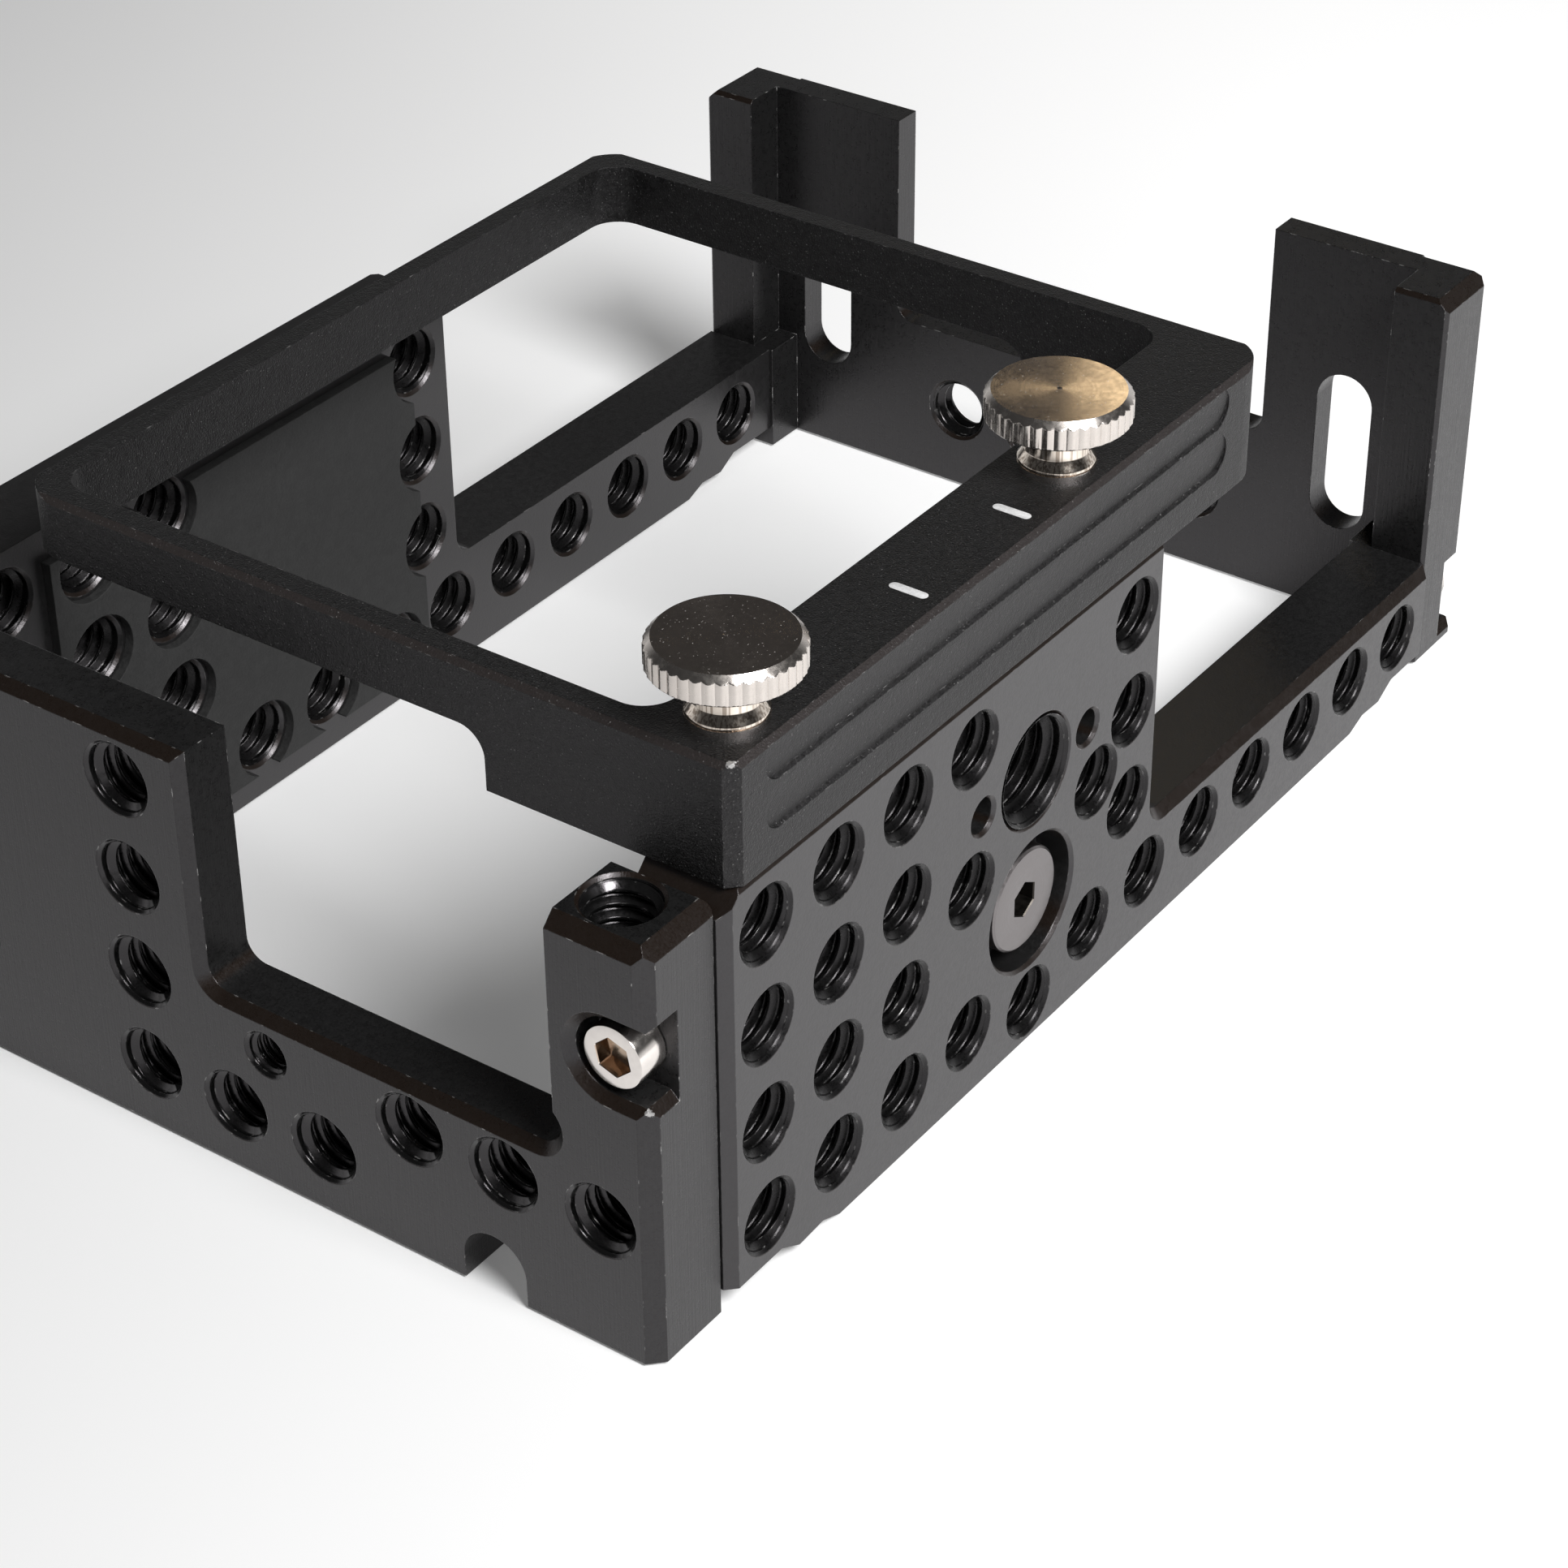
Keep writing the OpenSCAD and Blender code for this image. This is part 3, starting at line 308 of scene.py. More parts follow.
def black_metal(name, dark, light, bevel_sheen_tone, rough, ior, grains, bump, sparkle, knocks=(),
                stretch=None, wear=0.35, bevels_above=-10.0):
    """Anodised aluminium: grain, painted sheen on upward bevels, worn edges and knocked spots."""
    material, tree, shader = new_material(name)
    shader.inputs["IOR"].default_value = ior
    shader.inputs["Specular Tint"].default_value = DYE_GLINT
    texture = use(tree, grain, Grains_per_mm=grains, Sparkle=sparkle)
    soft = use(tree, edges, Wear=wear)
    colour = mix_colour(tree, fade(tree, texture["Height"], 0.55, 1.05), dark, light)
    # Upward-leaning bevels take the painted sheen tone.
    colour = mix_colour(tree, use(tree, bevels, Above=bevels_above)["Mask"], colour, bevel_sheen_tone)
    glints = maths(tree, "MULTIPLY", texture["Sparkle"], SPARKLE_SHARE)
    bright = maths(tree, "MAXIMUM", soft["Wear"], glints)
    for x, y, z, size in knocks:
        spot = use(tree, knock, Place=place(x, y, z) / MM, Size=size)["Mask"]
        bright = maths(tree, "MAXIMUM", bright, maths(tree, "MULTIPLY", spot, KNOCK_SHARE))
    tree.links.new(mix_colour(tree, bright, colour, BARE), shader.inputs["Base Color"])
    tree.links.new(maths(tree, "MULTIPLY", bright, 0.9), shader.inputs["Metallic"])
    tree.links.new(fade(tree, texture["Height"], 0.5, 1.1, rough - 0.05, rough + 0.06),
                   shader.inputs["Roughness"])
    height = texture["Height"]
    if stretch:
        cut = use(tree, cutter, Stretch=stretch)["Height"]
        height = maths(tree, "ADD", height, maths(tree, "MULTIPLY", cut, CUTTER_SHARE))
    bumped = add(tree, "ShaderNodeBump", {"Height": height, "Normal": soft["Normal"],
                                          "Strength": bump, "Distance": 0.00005})
    tree.links.new(bumped.outputs[0], shader.inputs["Normal"])
    return material


black_plate = black_metal(
    "black_plate", dark=grey(0.008), light=grey(0.013), bevel_sheen_tone=SHEEN_BROWN,
    rough=0.33, ior=1.64, grains=4.5, bump=0.22, sparkle=0.8)
black_side = black_metal(
    "black_side", dark=grey(0.007), light=grey(0.012), bevel_sheen_tone=SHEEN_BROWN,
    rough=0.31, ior=1.5, grains=4.5, bump=0.24, sparkle=0.8,
    knocks=[(0.65, 1.25, 25.0, 0.55)], stretch=(7.0, 7.0, 0.1), wear=1.0)
black_bracket = black_metal(
    "black_bracket", dark=grey(0.003), light=grey(0.014), bevel_sheen_tone=(0.022, 0.0185, 0.0175, 1),
    rough=0.44, ior=1.38, grains=6.0, bump=1.6, sparkle=0.68,
    knocks=[(10.4, 0.55, 51.1, 0.42), (10.8, 0.15, 51.15, 0.38)], bevels_above=49.0)
# The thread materials are darker than the plates: painted shade inside the bores.
shaded_thread = black_metal(
    "shaded_thread", dark=grey(0.002), light=grey(0.004), bevel_sheen_tone=grey(0.002),
    rough=0.3, ior=1.4, grains=5.0, bump=0.1, sparkle=0.85)
shaded_side_thread = black_metal(
    "shaded_side_thread", dark=grey(0.003), light=grey(0.006), bevel_sheen_tone=grey(0.004),
    rough=0.17, ior=1.55, grains=5.0, bump=0.1, sparkle=0.85)
print("black metals:", [m.name for m in (black_plate, black_side, black_bracket, shaded_thread,
                                         shaded_side_thread)])

# %% [markdown]
# The knobs are nickel plated brass, the cap screws stainless steel. Bright metal is mostly what it
# mirrors, so its finish lies in the roughness and in the tool's rings, with a warm tint for
# nickel. The knobs' tops are spun and a little dusty, and their necks carry painted dark streaks
# that stand in for the dark things they mirror.

# %% Bright metals
REFLECTED_STREAK = (0.20, 0.15, 0.11, 1)
STREAK_STRETCH = (4.5, 4.5, 0.05)


def bright_metal(name, tone, rough, rings=0.0, ring_bump=0.1, scratches=0.03, spin=0.0, dust=0.0,
                 streaks=0.0):
    """A bare or plated metal; rings, spin, dust and painted reflection streaks are left out at 0.
    """
    material, tree, shader = new_material(name)
    texture = use(tree, grain, Grains_per_mm=2.0, Sparkle=0.9)
    tone_low = tuple(c * 0.93 for c in tone[:3]) + (1,)
    colour = mix_colour(tree, fade(tree, texture["Height"], 0.5, 1.0), tone_low, tone)
    # Dark brown streaks along the turning are painted into the colour: painted reflections.
    if streaks:
        marks = use(tree, cutter, Stretch=STREAK_STRETCH)["Height"]
        colour = mix_colour(tree, fade(tree, marks, 0.46, 0.6, 0.0, streaks), colour, REFLECTED_STREAK)
    if dust:
        specks = use(tree, grain, Grains_per_mm=5.5, Sparkle=0.69)["Sparkle"]
        specks = maths(tree, "MULTIPLY", specks, dust)
        colour = mix_colour(tree, specks, colour, BARE)
        tree.links.new(maths(tree, "SUBTRACT", 1.0, specks), shader.inputs["Metallic"])
    else:
        shader.inputs["Metallic"].default_value = 1.0
    tree.links.new(colour, shader.inputs["Base Color"])
    tree.links.new(fade(tree, texture["Height"], 0.4, 1.1, rough * 0.8, rough * 1.25),
                   shader.inputs["Roughness"])
    height = maths(tree, "MULTIPLY", texture["Height"], scratches)
    if rings:
        ring = use(tree, turning, Rings_per_mm=rings)["Height"]
        height = maths(tree, "ADD", height, ring)
    bumped = add(tree, "ShaderNodeBump",
                 {"Height": height, "Strength": ring_bump, "Distance": 0.00004})
    tree.links.new(bumped.outputs[0], shader.inputs["Normal"])
    if spin:
        shader.inputs["Anisotropic"].default_value = spin
        shader.inputs["Anisotropic Rotation"].default_value = 0.25
        tangent = add(tree, "ShaderNodeTangent", direction_type="RADIAL", axis="Z")
        tree.links.new(tangent.outputs[0], shader.inputs["Tangent"])
    return material


nickel_rib = bright_metal("nickel_rib", (0.65, 0.60, 0.56, 1), rough=0.24)
nickel_top = bright_metal("nickel_top", (0.64, 0.56, 0.50, 1), rough=0.15, rings=5.0,
                          ring_bump=0.03, scratches=0.0, spin=0.7, dust=0.7)
nickel_neck = bright_metal("nickel_neck", (0.76, 0.68, 0.60, 1), rough=0.12, streaks=0.7)
bright_steel = bright_metal("bright_steel", (0.78, 0.735, 0.70, 1), rough=0.18)
# The socket steel is darker and browner than the head: painted shade inside the socket.
cap_socket_shade = bright_metal("cap_socket_shade", (0.52, 0.41, 0.32, 1), rough=0.16)
screw_steel = bright_metal("screw_steel", (0.22, 0.205, 0.205, 1), rough=0.34, rings=5.0,
                           ring_bump=0.12)
# Near-black steel for the camera screw's socket: painted shade inside it.
bolt_socket_shade = bright_metal("bolt_socket_shade", (0.05, 0.045, 0.04, 1), rough=0.4)
shoe_steel = bright_metal("shoe_steel", (0.60, 0.60, 0.61, 1), rough=0.28)
print("bright metals:", [m.name for m in (nickel_rib, nickel_top, nickel_neck, bright_steel,
                                          cap_socket_shade, screw_steel, bolt_socket_shade, shoe_steel)])

# %% [markdown]
# Rubber scatters light in every direction and shows fine dust. The washer under the camera screw
# is black nylon: close to rubber, but smoother.

# %% Rubber and nylon
def soft_black(name, tone, rough, bump):
    """A matte black polymer with a mottled skin."""
    material, tree, shader = new_material(name)
    texture = use(tree, grain, Grains_per_mm=3.5, Sparkle=0.8)
    soft = use(tree, edges, Radius=0.00015, Wear=0.0)
    dusty = tuple(c * 1.9 for c in tone[:3]) + (1,)
    tree.links.new(mix_colour(tree, fade(tree, texture["Height"], 0.5, 1.1), tone, dusty),
                   shader.inputs["Base Color"])
    tree.links.new(fade(tree, texture["Height"], 0.4, 1.1, rough - 0.06, rough + 0.06),
                   shader.inputs["Roughness"])
    bumped = add(tree, "ShaderNodeBump", {"Height": texture["Height"], "Normal": soft["Normal"],
                                          "Strength": bump, "Distance": 0.00006})
    tree.links.new(bumped.outputs[0], shader.inputs["Normal"])
    return material


rubber = soft_black("pad_rubber", grey(0.013), rough=0.72, bump=0.6)
nylon = soft_black("washer_nylon", grey(0.016), rough=0.45, bump=0.25)
paint, tree, shader = new_material("index_paint")
mottle = use(tree, grain, Grains_per_mm=4.0, Sparkle=0.9)["Height"]
tree.links.new(mix_colour(tree, fade(tree, mottle, 0.5, 1.1), grey(0.62), grey(0.78)),
               shader.inputs["Base Color"])
tree.links.new(fade(tree, mottle, 0.5, 1.1, 0.42, 0.55), shader.inputs["Roughness"])
print("polymers and paint:", rubber.name, nylon.name, paint.name)

# %% [markdown]
# Each solid keeps its mesh and takes its finish through its material slots.

# %% Finishes on the solids
FINISHES = {
    "base_plate": black_plate, "top_plate": black_plate,
    "left_side_frame": black_side, "right_side_frame": black_side,
    "finder_bracket": black_bracket,
    "base_pad": rubber, "top_pad": rubber, "camera_screw_washer": nylon,
    "accessory_shoe": shoe_steel,
}
for name, node in nodes.items():
    finish = FINISHES.get(name, bright_steel)
    for material_slot in node.material_slots:
        material_slot.material = finish
print("finishes set on", len(nodes), "solids")

# %% [markdown]
# ## Turned pieces
# A lathe makes anything that is round about an axis. The helper below does the same from a profile
# of heights and radii. A radius may also be a function of the angle, which gives a knurl or a hex
# socket with the same few lines.

# %% Lathe helper
SHARP_FROM = math.radians(28)


def lathe(mesh, profile, steps):
    """Adds a closed turned body; the profile runs from axis to axis, as (radius, height) in mm."""
    def vertex(radius, height, angle):
        r = radius(angle) if callable(radius) else radius
        return mesh.verts.new(Vector((r * math.cos(angle), r * math.sin(angle), height)) * MM)

    angles = [i * math.tau / steps for i in range(steps)]
    first = vertex(0, profile[0][1], 0)
    last = vertex(0, profile[-1][1], 0)
    loops = [[vertex(r, z, a) for a in angles] for r, z in profile[1:-1]]
    for i in range(steps):
        j = (i + 1) % steps
        mesh.faces.new((first, loops[0][j], loops[0][i]))
        mesh.faces.new((last, loops[-1][i], loops[-1][j]))
        for low, high in zip(loops, loops[1:]):
            mesh.faces.new((low[i], low[j], high[j], high[i]))


def hexagon(width, turn=0.0):
    """Radius of a hex socket of that width across flats, by angle, turned by some radians."""
    sixth = math.pi / 3
    return lambda angle: width / 2 / math.cos((angle - turn + sixth / 2) % sixth - sixth / 2)


def finish_piece(mesh, name, materials, body, location=None, rotation=None):
    """Turns the built mesh into an object that rides on a body."""
    bmesh.ops.recalc_face_normals(mesh, faces=mesh.faces)
    for face in mesh.faces:
        face.smooth = True
    data = bpy.data.meshes.new(name)
    mesh.to_mesh(data)
    mesh.free()
    data.set_sharp_from_angle(angle=SHARP_FROM)
    for material in materials:
        data.materials.append(material)
    piece = bpy.data.objects.new(name, data)
    bpy.context.scene.collection.objects.link(piece)
    if location:
        piece.location = location
    if rotation:
        piece.rotation_euler = rotation
    bpy.context.view_layer.update()
    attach(piece, body)
    print(name, "has", len(data.polygons), "faces")
    return piece


# %% [markdown]
# A thread is a ridge wound round the axis. It is drawn as four points of a tooth, carried along the
# helix and joined into one closed strip. At the mouth of a hole the countersink has cut the tooth
# away, so its height there is no more than the distance from the mouth. A thin sleeve lines the
# wall between the turns and takes the dark thread material, a painted shade that keeps the whole
# bore dark. It flares with the countersink, except at the holes whose thread starts deeper than the
# usual mouth.

# %% Thread helper
TOOTH = ((-0.44, False), (-0.08, True), (0.08, True), (0.44, False))
BURY, MOUTH, LEAST_RISE, SKIN = 0.06, 0.3, 0.02, 0.02


def thread(mesh, at, axis, wall_r, depth, pitch, start, end, inward=True, steps=36):
    """Winds a thread's ridge from start to end along the axis, from the wall by the given depth."""
    at, axis = Vector(at), Vector(axis)
    side = axis.orthogonal().normalized()
    other = axis.cross(side)
    sign = -1 if inward else 1
    count = int((end - start) / pitch * steps)
    rings_made = []
    for i in range(count + 1):
        along_axis = start + i / count * (end - start)
        angle = (along_axis - start) / pitch * math.tau
        out = side * math.cos(angle) + other * math.sin(angle)
        ring = []
        for offset, crest in TOOTH:
            height = min(max(along_axis + offset * pitch, start), end)
            rise = max(min(depth, height - start, end - height), LEAST_RISE) if crest else -BURY
            ring.append(mesh.verts.new((at + axis * height + out * (wall_r + sign * rise)) * MM))
        rings_made.append(ring)
    for low, high in zip(rings_made, rings_made[1:]):
        for k in range(len(TOOTH)):
            m = (k + 1) % len(TOOTH)
            mesh.faces.new((low[k], low[m], high[m], high[k]))
    mesh.faces.new(rings_made[0][::-1])
    mesh.faces.new(rings_made[-1])


def shade_sleeve(mesh, at, axis, radius, start, end, flared, steps=36):
    """A thin sleeve of painted shade down the wall, which may flare to follow the countersink."""
    at, axis = Vector(at), Vector(axis)
    side = axis.orthogonal().normalized()
    other = axis.cross(side)
    inner, outer = radius - SKIN, radius + SKIN
    profile = [(inner, start), (inner, end), (outer, end), (outer, start + SKIN)]
    if flared:
        profile += [(radius + start, SKIN), (radius + start - SKIN * 2, SKIN)]
    angles = [i * math.tau / steps for i in range(steps)]
    loops = [[mesh.verts.new((at + axis * height + r * (side * math.cos(a) + other * math.sin(a)))
                             * MM) for a in angles]
             for r, height in profile]
    for low, high in zip(loops, loops[1:] + loops[:1]):
        for i in range(steps):
            j = (i + 1) % steps
            mesh.faces.new((low[i], low[j], high[j], high[i]))


ACCESSORY_R, ACCESSORY_DEPTH, ACCESSORY_PITCH = 3.175, 0.62, 1.27
ORIGIN_MM = ORIGIN / MM


def tapped(mesh, x, y, z, axis, wall, radius=ACCESSORY_R, depth=ACCESSORY_DEPTH,
           pitch=ACCESSORY_PITCH, mouth=MOUTH):
    """The thread and shade sleeve of one hole that starts on a face and goes in along the axis."""
    at = ORIGIN_MM + Vector((x, y, z))
    thread(mesh, at, axis, radius, depth, pitch, mouth, wall - MOUTH)
    shade_sleeve(mesh, at, axis, radius, mouth, wall - MOUTH, mouth == MOUTH)


print("thread helper ready")

# %% [markdown]
# The plates carry a grid of quarter-inch holes. Columns and rows are counted in steps of the grid's
# pitch, just as they were drilled. The large tripod hole has a coarser thread.

# %% Threads in the base and top plates
PITCH = 9.5
COLUMN_X, FRONT_ROW = 13.7, 6.5
TRIPOD_COLUMN, TRIPOD_ROW = 4, 2.23
TRIPOD_R, TRIPOD_DEPTH, TRIPOD_PITCH = 4.7625, 0.78, 1.5875
BASE_HOLES = ([(c, 3) for c in (0, 1, 2, 3, 5.62)]
              + [(c, r) for c in (0, 1, 2, 5.62) for r in (1, 2)]
              + [(c, 0) for c in (0, 1, 2, 3, 5, 6, 7, 8, 9, 10, 11)]
              + [(4, -0.28), (3, 1.55), (5.03, 1.55)])
TOP_HOLES = [(c, r) for c in (0, 1, 2, 5.62) for r in (1, 2, 3)] + [(c, 0) for c in range(12)]
base_threads = bmesh.new()
for column, row in BASE_HOLES:
    tapped(base_threads, COLUMN_X + column * PITCH, 0, FRONT_ROW + row * PITCH, (0, 1, 0), PLATE_T)
tapped(base_threads, COLUMN_X + TRIPOD_COLUMN * PITCH, 0, FRONT_ROW + TRIPOD_ROW * PITCH,
       (0, 1, 0), PLATE_T, TRIPOD_R, TRIPOD_DEPTH, TRIPOD_PITCH)
finish_piece(base_threads, "base_plate_threads", [shaded_thread], "cage")
top_threads = bmesh.new()
for column, row in TOP_HOLES:
    tapped(top_threads, COLUMN_X + column * PITCH, CAGE_H, FRONT_ROW + row * PITCH, (0, -1, 0),
           PLATE_T)
finish_piece(top_threads, "top_plate_threads", [shaded_thread], "cage")

# %% [markdown]
# The left frame has holes along its rail and up its wall, a small one above the rail's holes, and
# one in the back end of each post. The right frame has a row of four.

# %% Threads in the side frames
RAIL_Y, RAIL_Z, WALL_Y = 6.015, 12.69, 46.3
SMALL_COLUMN, SMALL_ROW, SMALL_R, SMALL_DEPTH, SMALL_PITCH = 3.58, 0.07, 2.0, 0.35, 0.7
POST_HOLE_X, POST_HOLE_Y, POST_END_Z, POST_HOLE_D, POST_MOUTH = 4.875, 6.675, 39.8, 6.7, 0.4
HAND_Y, HAND_Z = 29.75, 8.65
left_threads = bmesh.new()
for column, row in ((0, 0), (1, 0), (2, 0), (3, -0.67), (4, -0.67)):
    tapped(left_threads, 0, RAIL_Y + column * PITCH, RAIL_Z + row * PITCH, (1, 0, 0),
           POST_W if column == 0 else WALL_T)
for row in range(4):
    tapped(left_threads, 0, WALL_Y + 0.75 * PITCH, FRONT_ROW + row * PITCH, (1, 0, 0), WALL_T)
tapped(left_threads, 0, RAIL_Y + SMALL_COLUMN * PITCH, RAIL_Z + SMALL_ROW * PITCH, (1, 0, 0),
       WALL_T, SMALL_R, SMALL_DEPTH, SMALL_PITCH)
for y in (POST_HOLE_Y, CAGE_H - POST_HOLE_Y):
    tapped(left_threads, POST_HOLE_X, y, POST_END_Z, (0, 0, -1), POST_HOLE_D, mouth=POST_MOUTH)
finish_piece(left_threads, "left_frame_threads", [shaded_side_thread], "cage")
right_threads = bmesh.new()
for column in range(4):
    tapped(right_threads, CAGE_W, HAND_Y + column * PITCH, HAND_Z, (-1, 0, 0), HAND_WALL_T)
finish_piece(right_threads, "right_frame_threads", [shaded_side_thread], "cage")

# %% [markdown]
# ## The thumb screws
# A knob's rim is knurled with straight grooves, then the top corner is turned off at an angle. The
# cut runs through the ribs, which gives the scalloped line where they meet the bright bevel. In the
# profile that is simply the smaller of two radii: the bevel's, and the rib's at that angle. The
# middle of the top keeps the small mark of the lathe's centre.

# %% Thumb screws
KNOB_R, RIBS, GROOVE_D, GROOVE_POWER = 6.1, 38, 0.15, 1.5
HEAD_LOW, HEAD_TOP, TOP_BEVEL, BEVEL_CUTS = 4.5, 7.0, 0.58, 8
SHANK_R, SHANK_END, COLLAR_LOW, COLLAR_R, NECK_R = 1.6, -10.7, 0.6, 3.25, 2.7
KNOB_Y = 4.55


def ribbed(limit):
    """The rim's radius by angle, never more than the limit: round ribs, sharp grooves between."""
    def radius(angle):
        step = math.tau / RIBS
        share = abs((angle + step / 2) % step - step / 2) * 2 / step
        return min(limit, KNOB_R - GROOVE_D * (1 - share) ** GROOVE_POWER)
    return radius


def thumb_screw(name, x, body, node):
    """Knurled head, collar, relieved shank and an M4 thread, replacing the plain screw."""
    mesh = bmesh.new()
    shank = [(0, SHANK_END), (1.25, SHANK_END), (SHANK_R, -10.35), (SHANK_R, 0.5),
             (1.7, COLLAR_LOW), (3.05, COLLAR_LOW), (3.2, 0.68), (COLLAR_R, 0.74),
             (COLLAR_R, 0.92), (3.22, 0.98), (2.74, 1.72), (NECK_R, 1.8), (NECK_R, HEAD_LOW)]
    lower = [(5.8, HEAD_LOW), (ribbed(5.9), 4.52), (ribbed(6.0), 4.62), (ribbed(KNOB_R), 4.72)]
    upper = [(ribbed(KNOB_R), HEAD_TOP - TOP_BEVEL - 0.02)]
    for i in range(BEVEL_CUTS + 1):
        drop = TOP_BEVEL * i / BEVEL_CUTS
        upper.append((ribbed(KNOB_R - drop), HEAD_TOP - TOP_BEVEL + drop))
    face_r = KNOB_R - TOP_BEVEL
    top = [(r, HEAD_TOP) for r in (face_r - 0.08, 4.6, 3, 1.5, 0.25, 0.2)]
    centre_mark = [(0.14, HEAD_TOP - 0.02), (0.05, HEAD_TOP - 0.08), (0, HEAD_TOP - 0.09)]
    lathe(mesh, shank + lower + upper + top + centre_mark, RIBS * 16)
    for face in mesh.faces:
        middle = face.calc_center_median()
        if middle.z > (HEAD_TOP - 0.15) * MM and middle.xy.length < (face_r - 0.03) * MM:
            face.material_index = 1
        elif (COLLAR_LOW * MM < middle.z < HEAD_LOW * MM
              and middle.xy.length < (COLLAR_R + 0.05) * MM):
            face.material_index = 2
    thread(mesh, (0, 0, 0), (0, 0, 1), SHANK_R, 0.33, 0.7, -10.5, -6.4, inward=False)
    piece = finish_piece(mesh, name, [nickel_rib, nickel_top, nickel_neck], body,
                         place(x, KNOB_Y, BRACKET_BACK))
    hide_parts(node)


thumb_screw("left_knurled_screw", 15.4, "left_knob", "left_thumb_screw")
thumb_screw("right_knurled_screw", 60.6, "right_knob", "right_thumb_screw")

# %% [markdown]
# ## The camera screw
# Its head lies in the counterbore, with a hex socket for a key. The thread is relieved behind so
# that the screw stays captive in the plate.

# %% Camera screw
BOLT_KEY, BOLT_CORE_R, BOLT_NECK_R, BOLT_HEAD_R, BOLT_TOP = 3, 2.5, 2.375, 4.85, 2.9
TURN_STEPS = 96
mesh = bmesh.new()
socket = hexagon(BOLT_KEY)
lathe(mesh, [(0, -10.6), (2.4, -10.6), (BOLT_CORE_R, -10.5), (BOLT_CORE_R, -5.6),
             (BOLT_NECK_R, -5.5), (BOLT_NECK_R, 0.35), (2.5, 0.5), (4.7, 0.5), (BOLT_HEAD_R, 0.62),
             (BOLT_HEAD_R, 2.6), (4.8, 2.72), (4.6, 2.88), (4.45, BOLT_TOP), (2.1, BOLT_TOP),
             (1.95, 2.88), (hexagon(3.15), 2.86), (socket, 2.74), (socket, 1.3), (0.9, 1.1),
             (0, 0.8)], TURN_STEPS)
# The socket's faces take the near-black steel: painted shade for its depth.
for face in mesh.faces:
    middle = face.calc_center_median()
    if middle.xy.length < 1.85 * MM and 0.7 * MM < middle.z < 2.87 * MM:
        face.material_index = 1
thread(mesh, (0, 0, 0), (0, 0, 1), BOLT_CORE_R, 0.6, ACCESSORY_PITCH, -10.55, -5.6, inward=False)
camera_screw = finish_piece(mesh, "camera_bolt_turned", [screw_steel, bolt_socket_shade], "camera_bolt",
                            place(51.7, 3.6, 14.385), (math.pi / 2, 0, 0))
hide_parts("camera_screw")

# %% [markdown]
# ## The cap screws
# One socket cap screw holds each corner. The head is polished by its cold heading. The hex socket
# takes a darker, browner steel, a painted shade for its depth. Its size and place come from the
# solid's box.

# %% Cap screws
HEAD_R, HEAD_H, CORE_R = 2.75, 3.0, 1.25
KEY, KEY_TURN, KEY_DEEP = 3.0, math.radians(-18), 1.45


def cap_screw(node, side):
    """A socket cap screw with its head at the low or high end of the node's box along X."""
    low, high = (Vector(corner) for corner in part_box(node))
    length = (high.x - low.x) / MM
    mesh = bmesh.new()
    socket = hexagon(KEY, KEY_TURN)
    recess = [(HEAD_R - 0.13, 0), (hexagon(KEY + 0.1, KEY_TURN), 0), (socket, -0.08),
              (socket, -KEY_DEEP), (0.5, -1.7), (0, -1.85)]
    lathe(mesh, [(0, -length), (1.0, -length), (CORE_R, 0.3 - length), (CORE_R, -HEAD_H),
                 (HEAD_R - 0.1, -HEAD_H), (HEAD_R, 0.1 - HEAD_H), (HEAD_R, -0.13),
                 (HEAD_R - 0.04, -0.04)] + recess, TURN_STEPS)
    # The socket's faces take the darker, browner steel: painted shade.
    for face in mesh.faces:
        middle = face.calc_center_median()
        if middle.xy.length < 1.7 * MM and -2.3 * MM < middle.z < -0.02 * MM:
            face.material_index = 1
    thread(mesh, (0, 0, 0), (0, 0, 1), CORE_R, 0.25, 0.5, 0.3 - length, -HEAD_H - 0.4,
           inward=False)
    middle = (low + high) / 2
    piece = finish_piece(mesh, node + "_turned", [bright_steel, cap_socket_shade], "cage",
                         (low.x if side < 0 else high.x, middle.y, middle.z),
                         (0, side * math.pi / 2, 0))
    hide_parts(node)


for level in ("bottom", "top"):
    cap_screw(level + "_left_cap_screw", -1)
    cap_screw(level + "_right_cap_screw", 1)

# %% [markdown]
# ## The index marks
# Two short white strokes on the bar are filled grooves. Each is a thin slab with round ends, let
# into the metal so that only a hair of paint stands above it.

# %% Index marks
MARK_R, MARK_LOW, MARK_HIGH, MARK_STEPS = 0.45, 2.15, 4.75, 12
MARK_MID = (MARK_LOW + MARK_HIGH) / 2
mesh = bmesh.new()
for x in (37.5, 52.2):
    outline = [(MARK_R * math.cos(a), y + MARK_R * math.sin(a) - MARK_MID)
               for y, start in ((MARK_HIGH, 0), (MARK_LOW, math.pi))
               for a in (start + i * math.pi / MARK_STEPS for i in range(MARK_STEPS + 1))]
    layers = [[mesh.verts.new(place(x + px * share, MARK_MID + py * share, BRACKET_BACK + rise))
               for px, py in outline]
              for share, rise in ((1, -0.2), (1, 0.02), (0.97, 0.04))]
    for low_ring, high_ring in zip(layers, layers[1:]):
        for i in range(len(outline)):
            j = (i + 1) % len(outline)
            mesh.faces.new((low_ring[i], low_ring[j], high_ring[j], high_ring[i]))
    mesh.faces.new(layers[0][::-1])
    mesh.faces.new(layers[-1])
finish_piece(mesh, "index_marks", [paint], "cage")
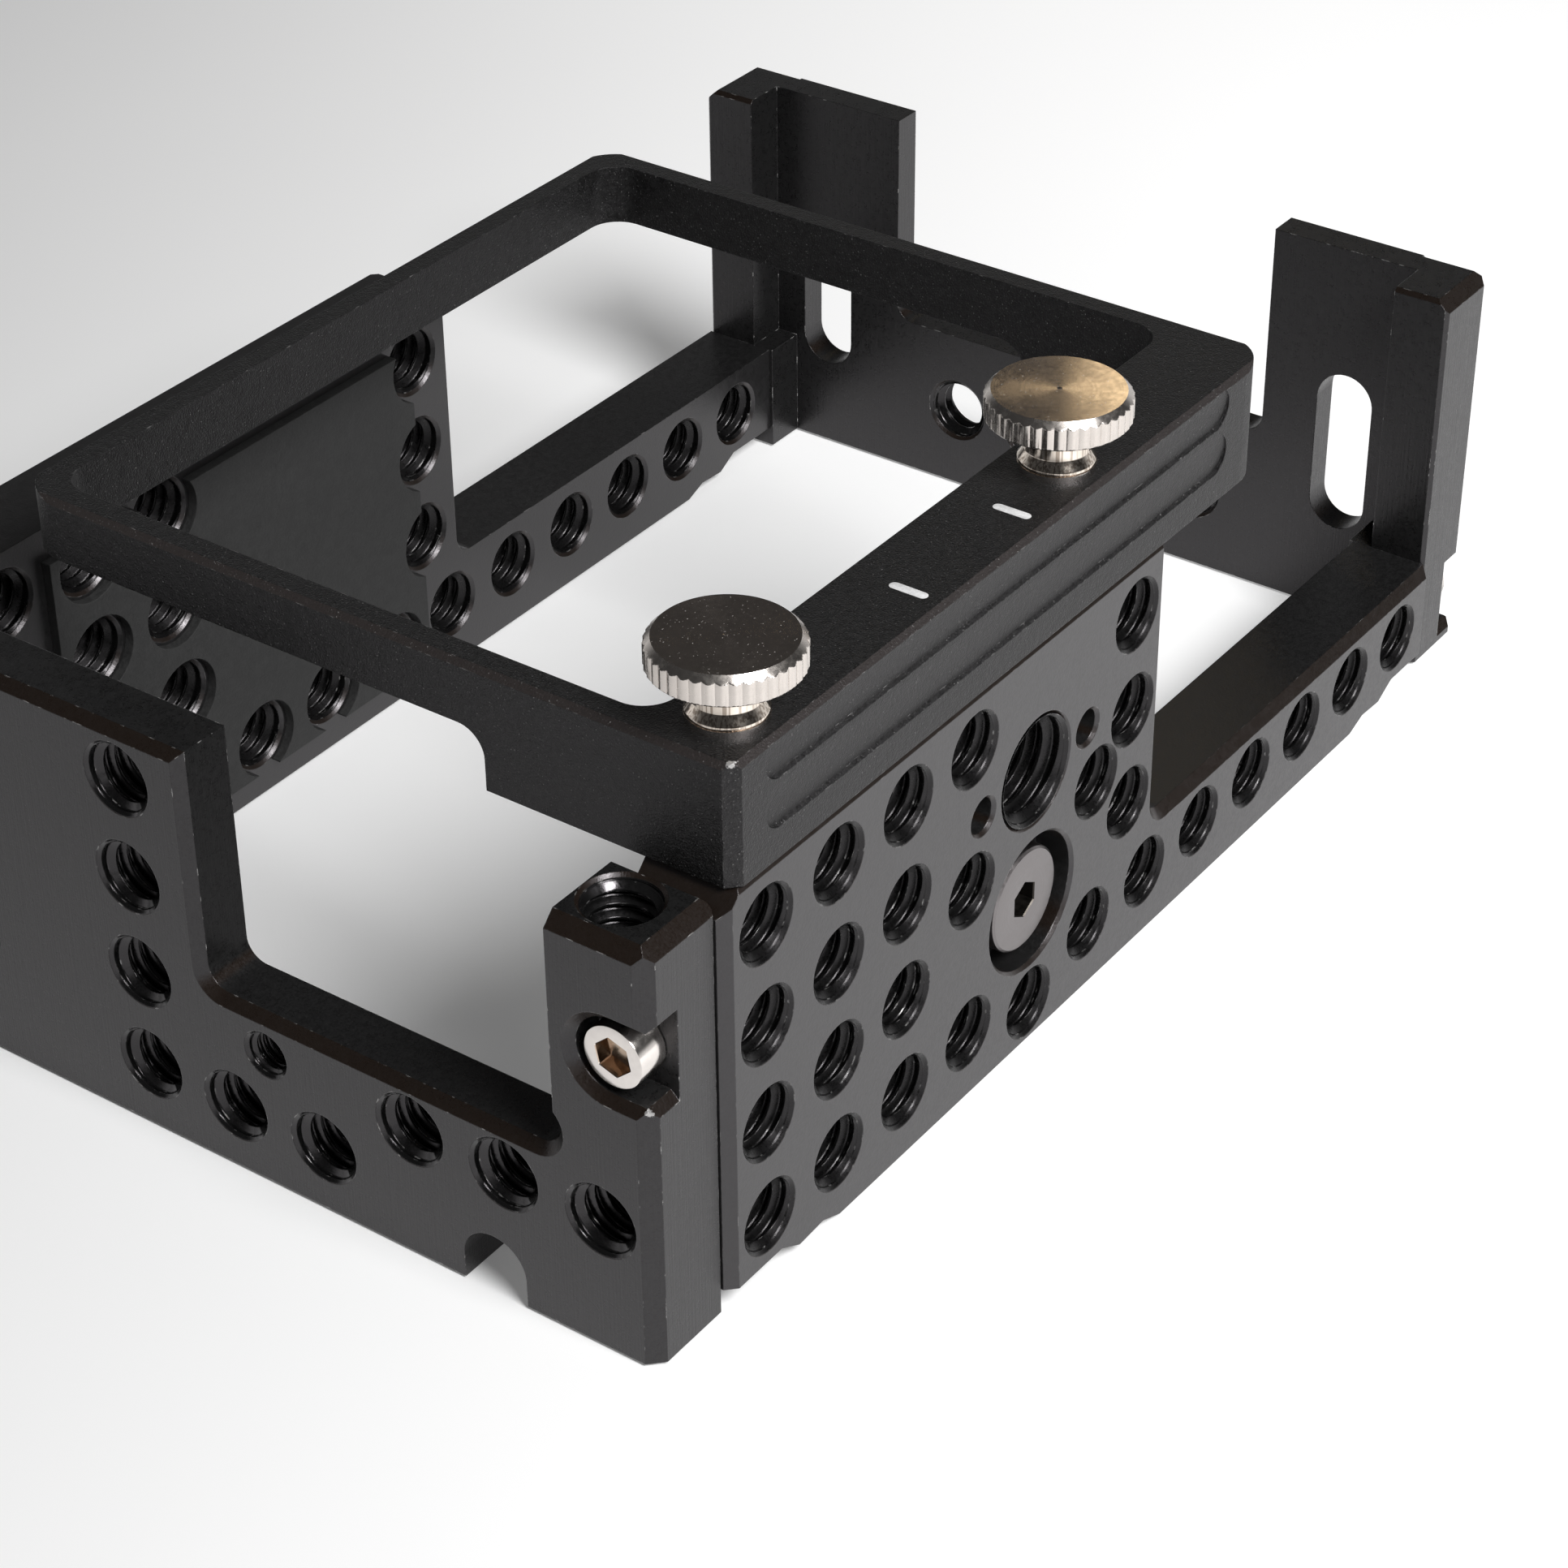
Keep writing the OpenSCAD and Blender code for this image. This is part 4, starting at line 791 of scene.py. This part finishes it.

# %% [markdown]
# ## Floor and light
# The cage lies on a white table. The floor mirrors into its lower faces, which is why they look
# lighter than the tops. For the camera and for mirrored rays the floor also glows, more towards +X
# and -Y: painted light, so that the faces turned that way mirror a brighter floor. A broad soft
# lamp shines from the front and left. A tiny warm lamp hangs where the right knob's top mirrors it
# to the camera, so this top glows and the other stays dark. The surround is pale at the horizon
# and darkens upwards, which keeps all other tops quiet.

# %% Floor
FLOOR_SIZE, FLOOR_DROP = 6, 0.0003
bpy.ops.mesh.primitive_plane_add(size=FLOOR_SIZE, location=(0, 0, -FLOOR_DROP))
floor = bpy.context.object
floor.name = "floor"
floor_material, tree, shader = new_material("pale_floor")
mottle = add(tree, "ShaderNodeTexNoise", {"Vector": in_mm(tree), "Scale": 0.02, "Detail": 2.0})
tree.links.new(mix_colour(tree, mottle.outputs[0], grey(0.85), grey(0.87)),
               shader.inputs["Base Color"])
shader.inputs["Roughness"].default_value = 0.8
shader.inputs["Specular IOR Level"].default_value = 0.1
ray = add(tree, "ShaderNodeLightPath").outputs
seen = maths(tree, "MAXIMUM", ray["Is Camera Ray"],
             maths(tree, "MAXIMUM", ray["Is Glossy Ray"], ray["Is Transmission Ray"]))
# For camera and mirror rays the floor glows more towards +X and -Y: painted light.
across = add(tree, "ShaderNodeVectorMath", {0: in_mm(tree), 1: (0.7, -0.7, 0)},
             operation="DOT_PRODUCT").outputs["Value"]
painted_glow = fade(tree, across, -120, 120, 0.0, 0.4)
tree.links.new(mix_colour(tree, maths(tree, "MULTIPLY", seen, painted_glow), grey(0.0), grey(1.0)),
               shader.inputs["Emission Color"])
shader.inputs["Emission Strength"].default_value = 1.0
floor.data.materials.append(floor_material)
print("floor", floor.dimensions[:2])

# %% Lights
def soft_lamp(name, location, aim, width, watts):
    """A round area lamp that looks at a point."""
    data = bpy.data.lights.new(name, "AREA")
    data.shape, data.size, data.energy = "DISK", width, watts
    lamp = bpy.data.objects.new(name, data)
    lamp.location = location
    lamp.rotation_mode = "QUATERNION"
    lamp.rotation_quaternion = (Vector(aim) - Vector(location)).to_track_quat("-Z", "Y")
    bpy.context.scene.collection.objects.link(lamp)
    return lamp


soft_lamp("key_lamp", (-0.17, -0.56, 0.62), aim=(0, 0, 0), width=0.36, watts=8.5)
warm = soft_lamp("knob_lamp", (0.2316, 0.0843, 0.2), aim=(-0.006, -0.04, 0.058), width=0.028,
                 watts=0.0043)
warm.data.color = (1, 0.8, 0.5)
warm.visible_camera = False
world = bpy.data.worlds.new("surround")
bpy.context.scene.world = world
world.use_nodes = True
tree = world.node_tree
background = tree.nodes["Background"]
direction = add(tree, "ShaderNodeTexCoord").outputs["Generated"]
height = add(tree, "ShaderNodeSeparateXYZ", {0: direction}).outputs["Z"]
shade = fade(tree, height, 0.02, 0.3)
tree.links.new(mix_colour(tree, shade, grey(0.85), grey(0.05)), background.inputs["Color"])
background.inputs["Strength"].default_value = 1.0
scene = bpy.context.scene
scene.view_settings.view_transform = "Standard"
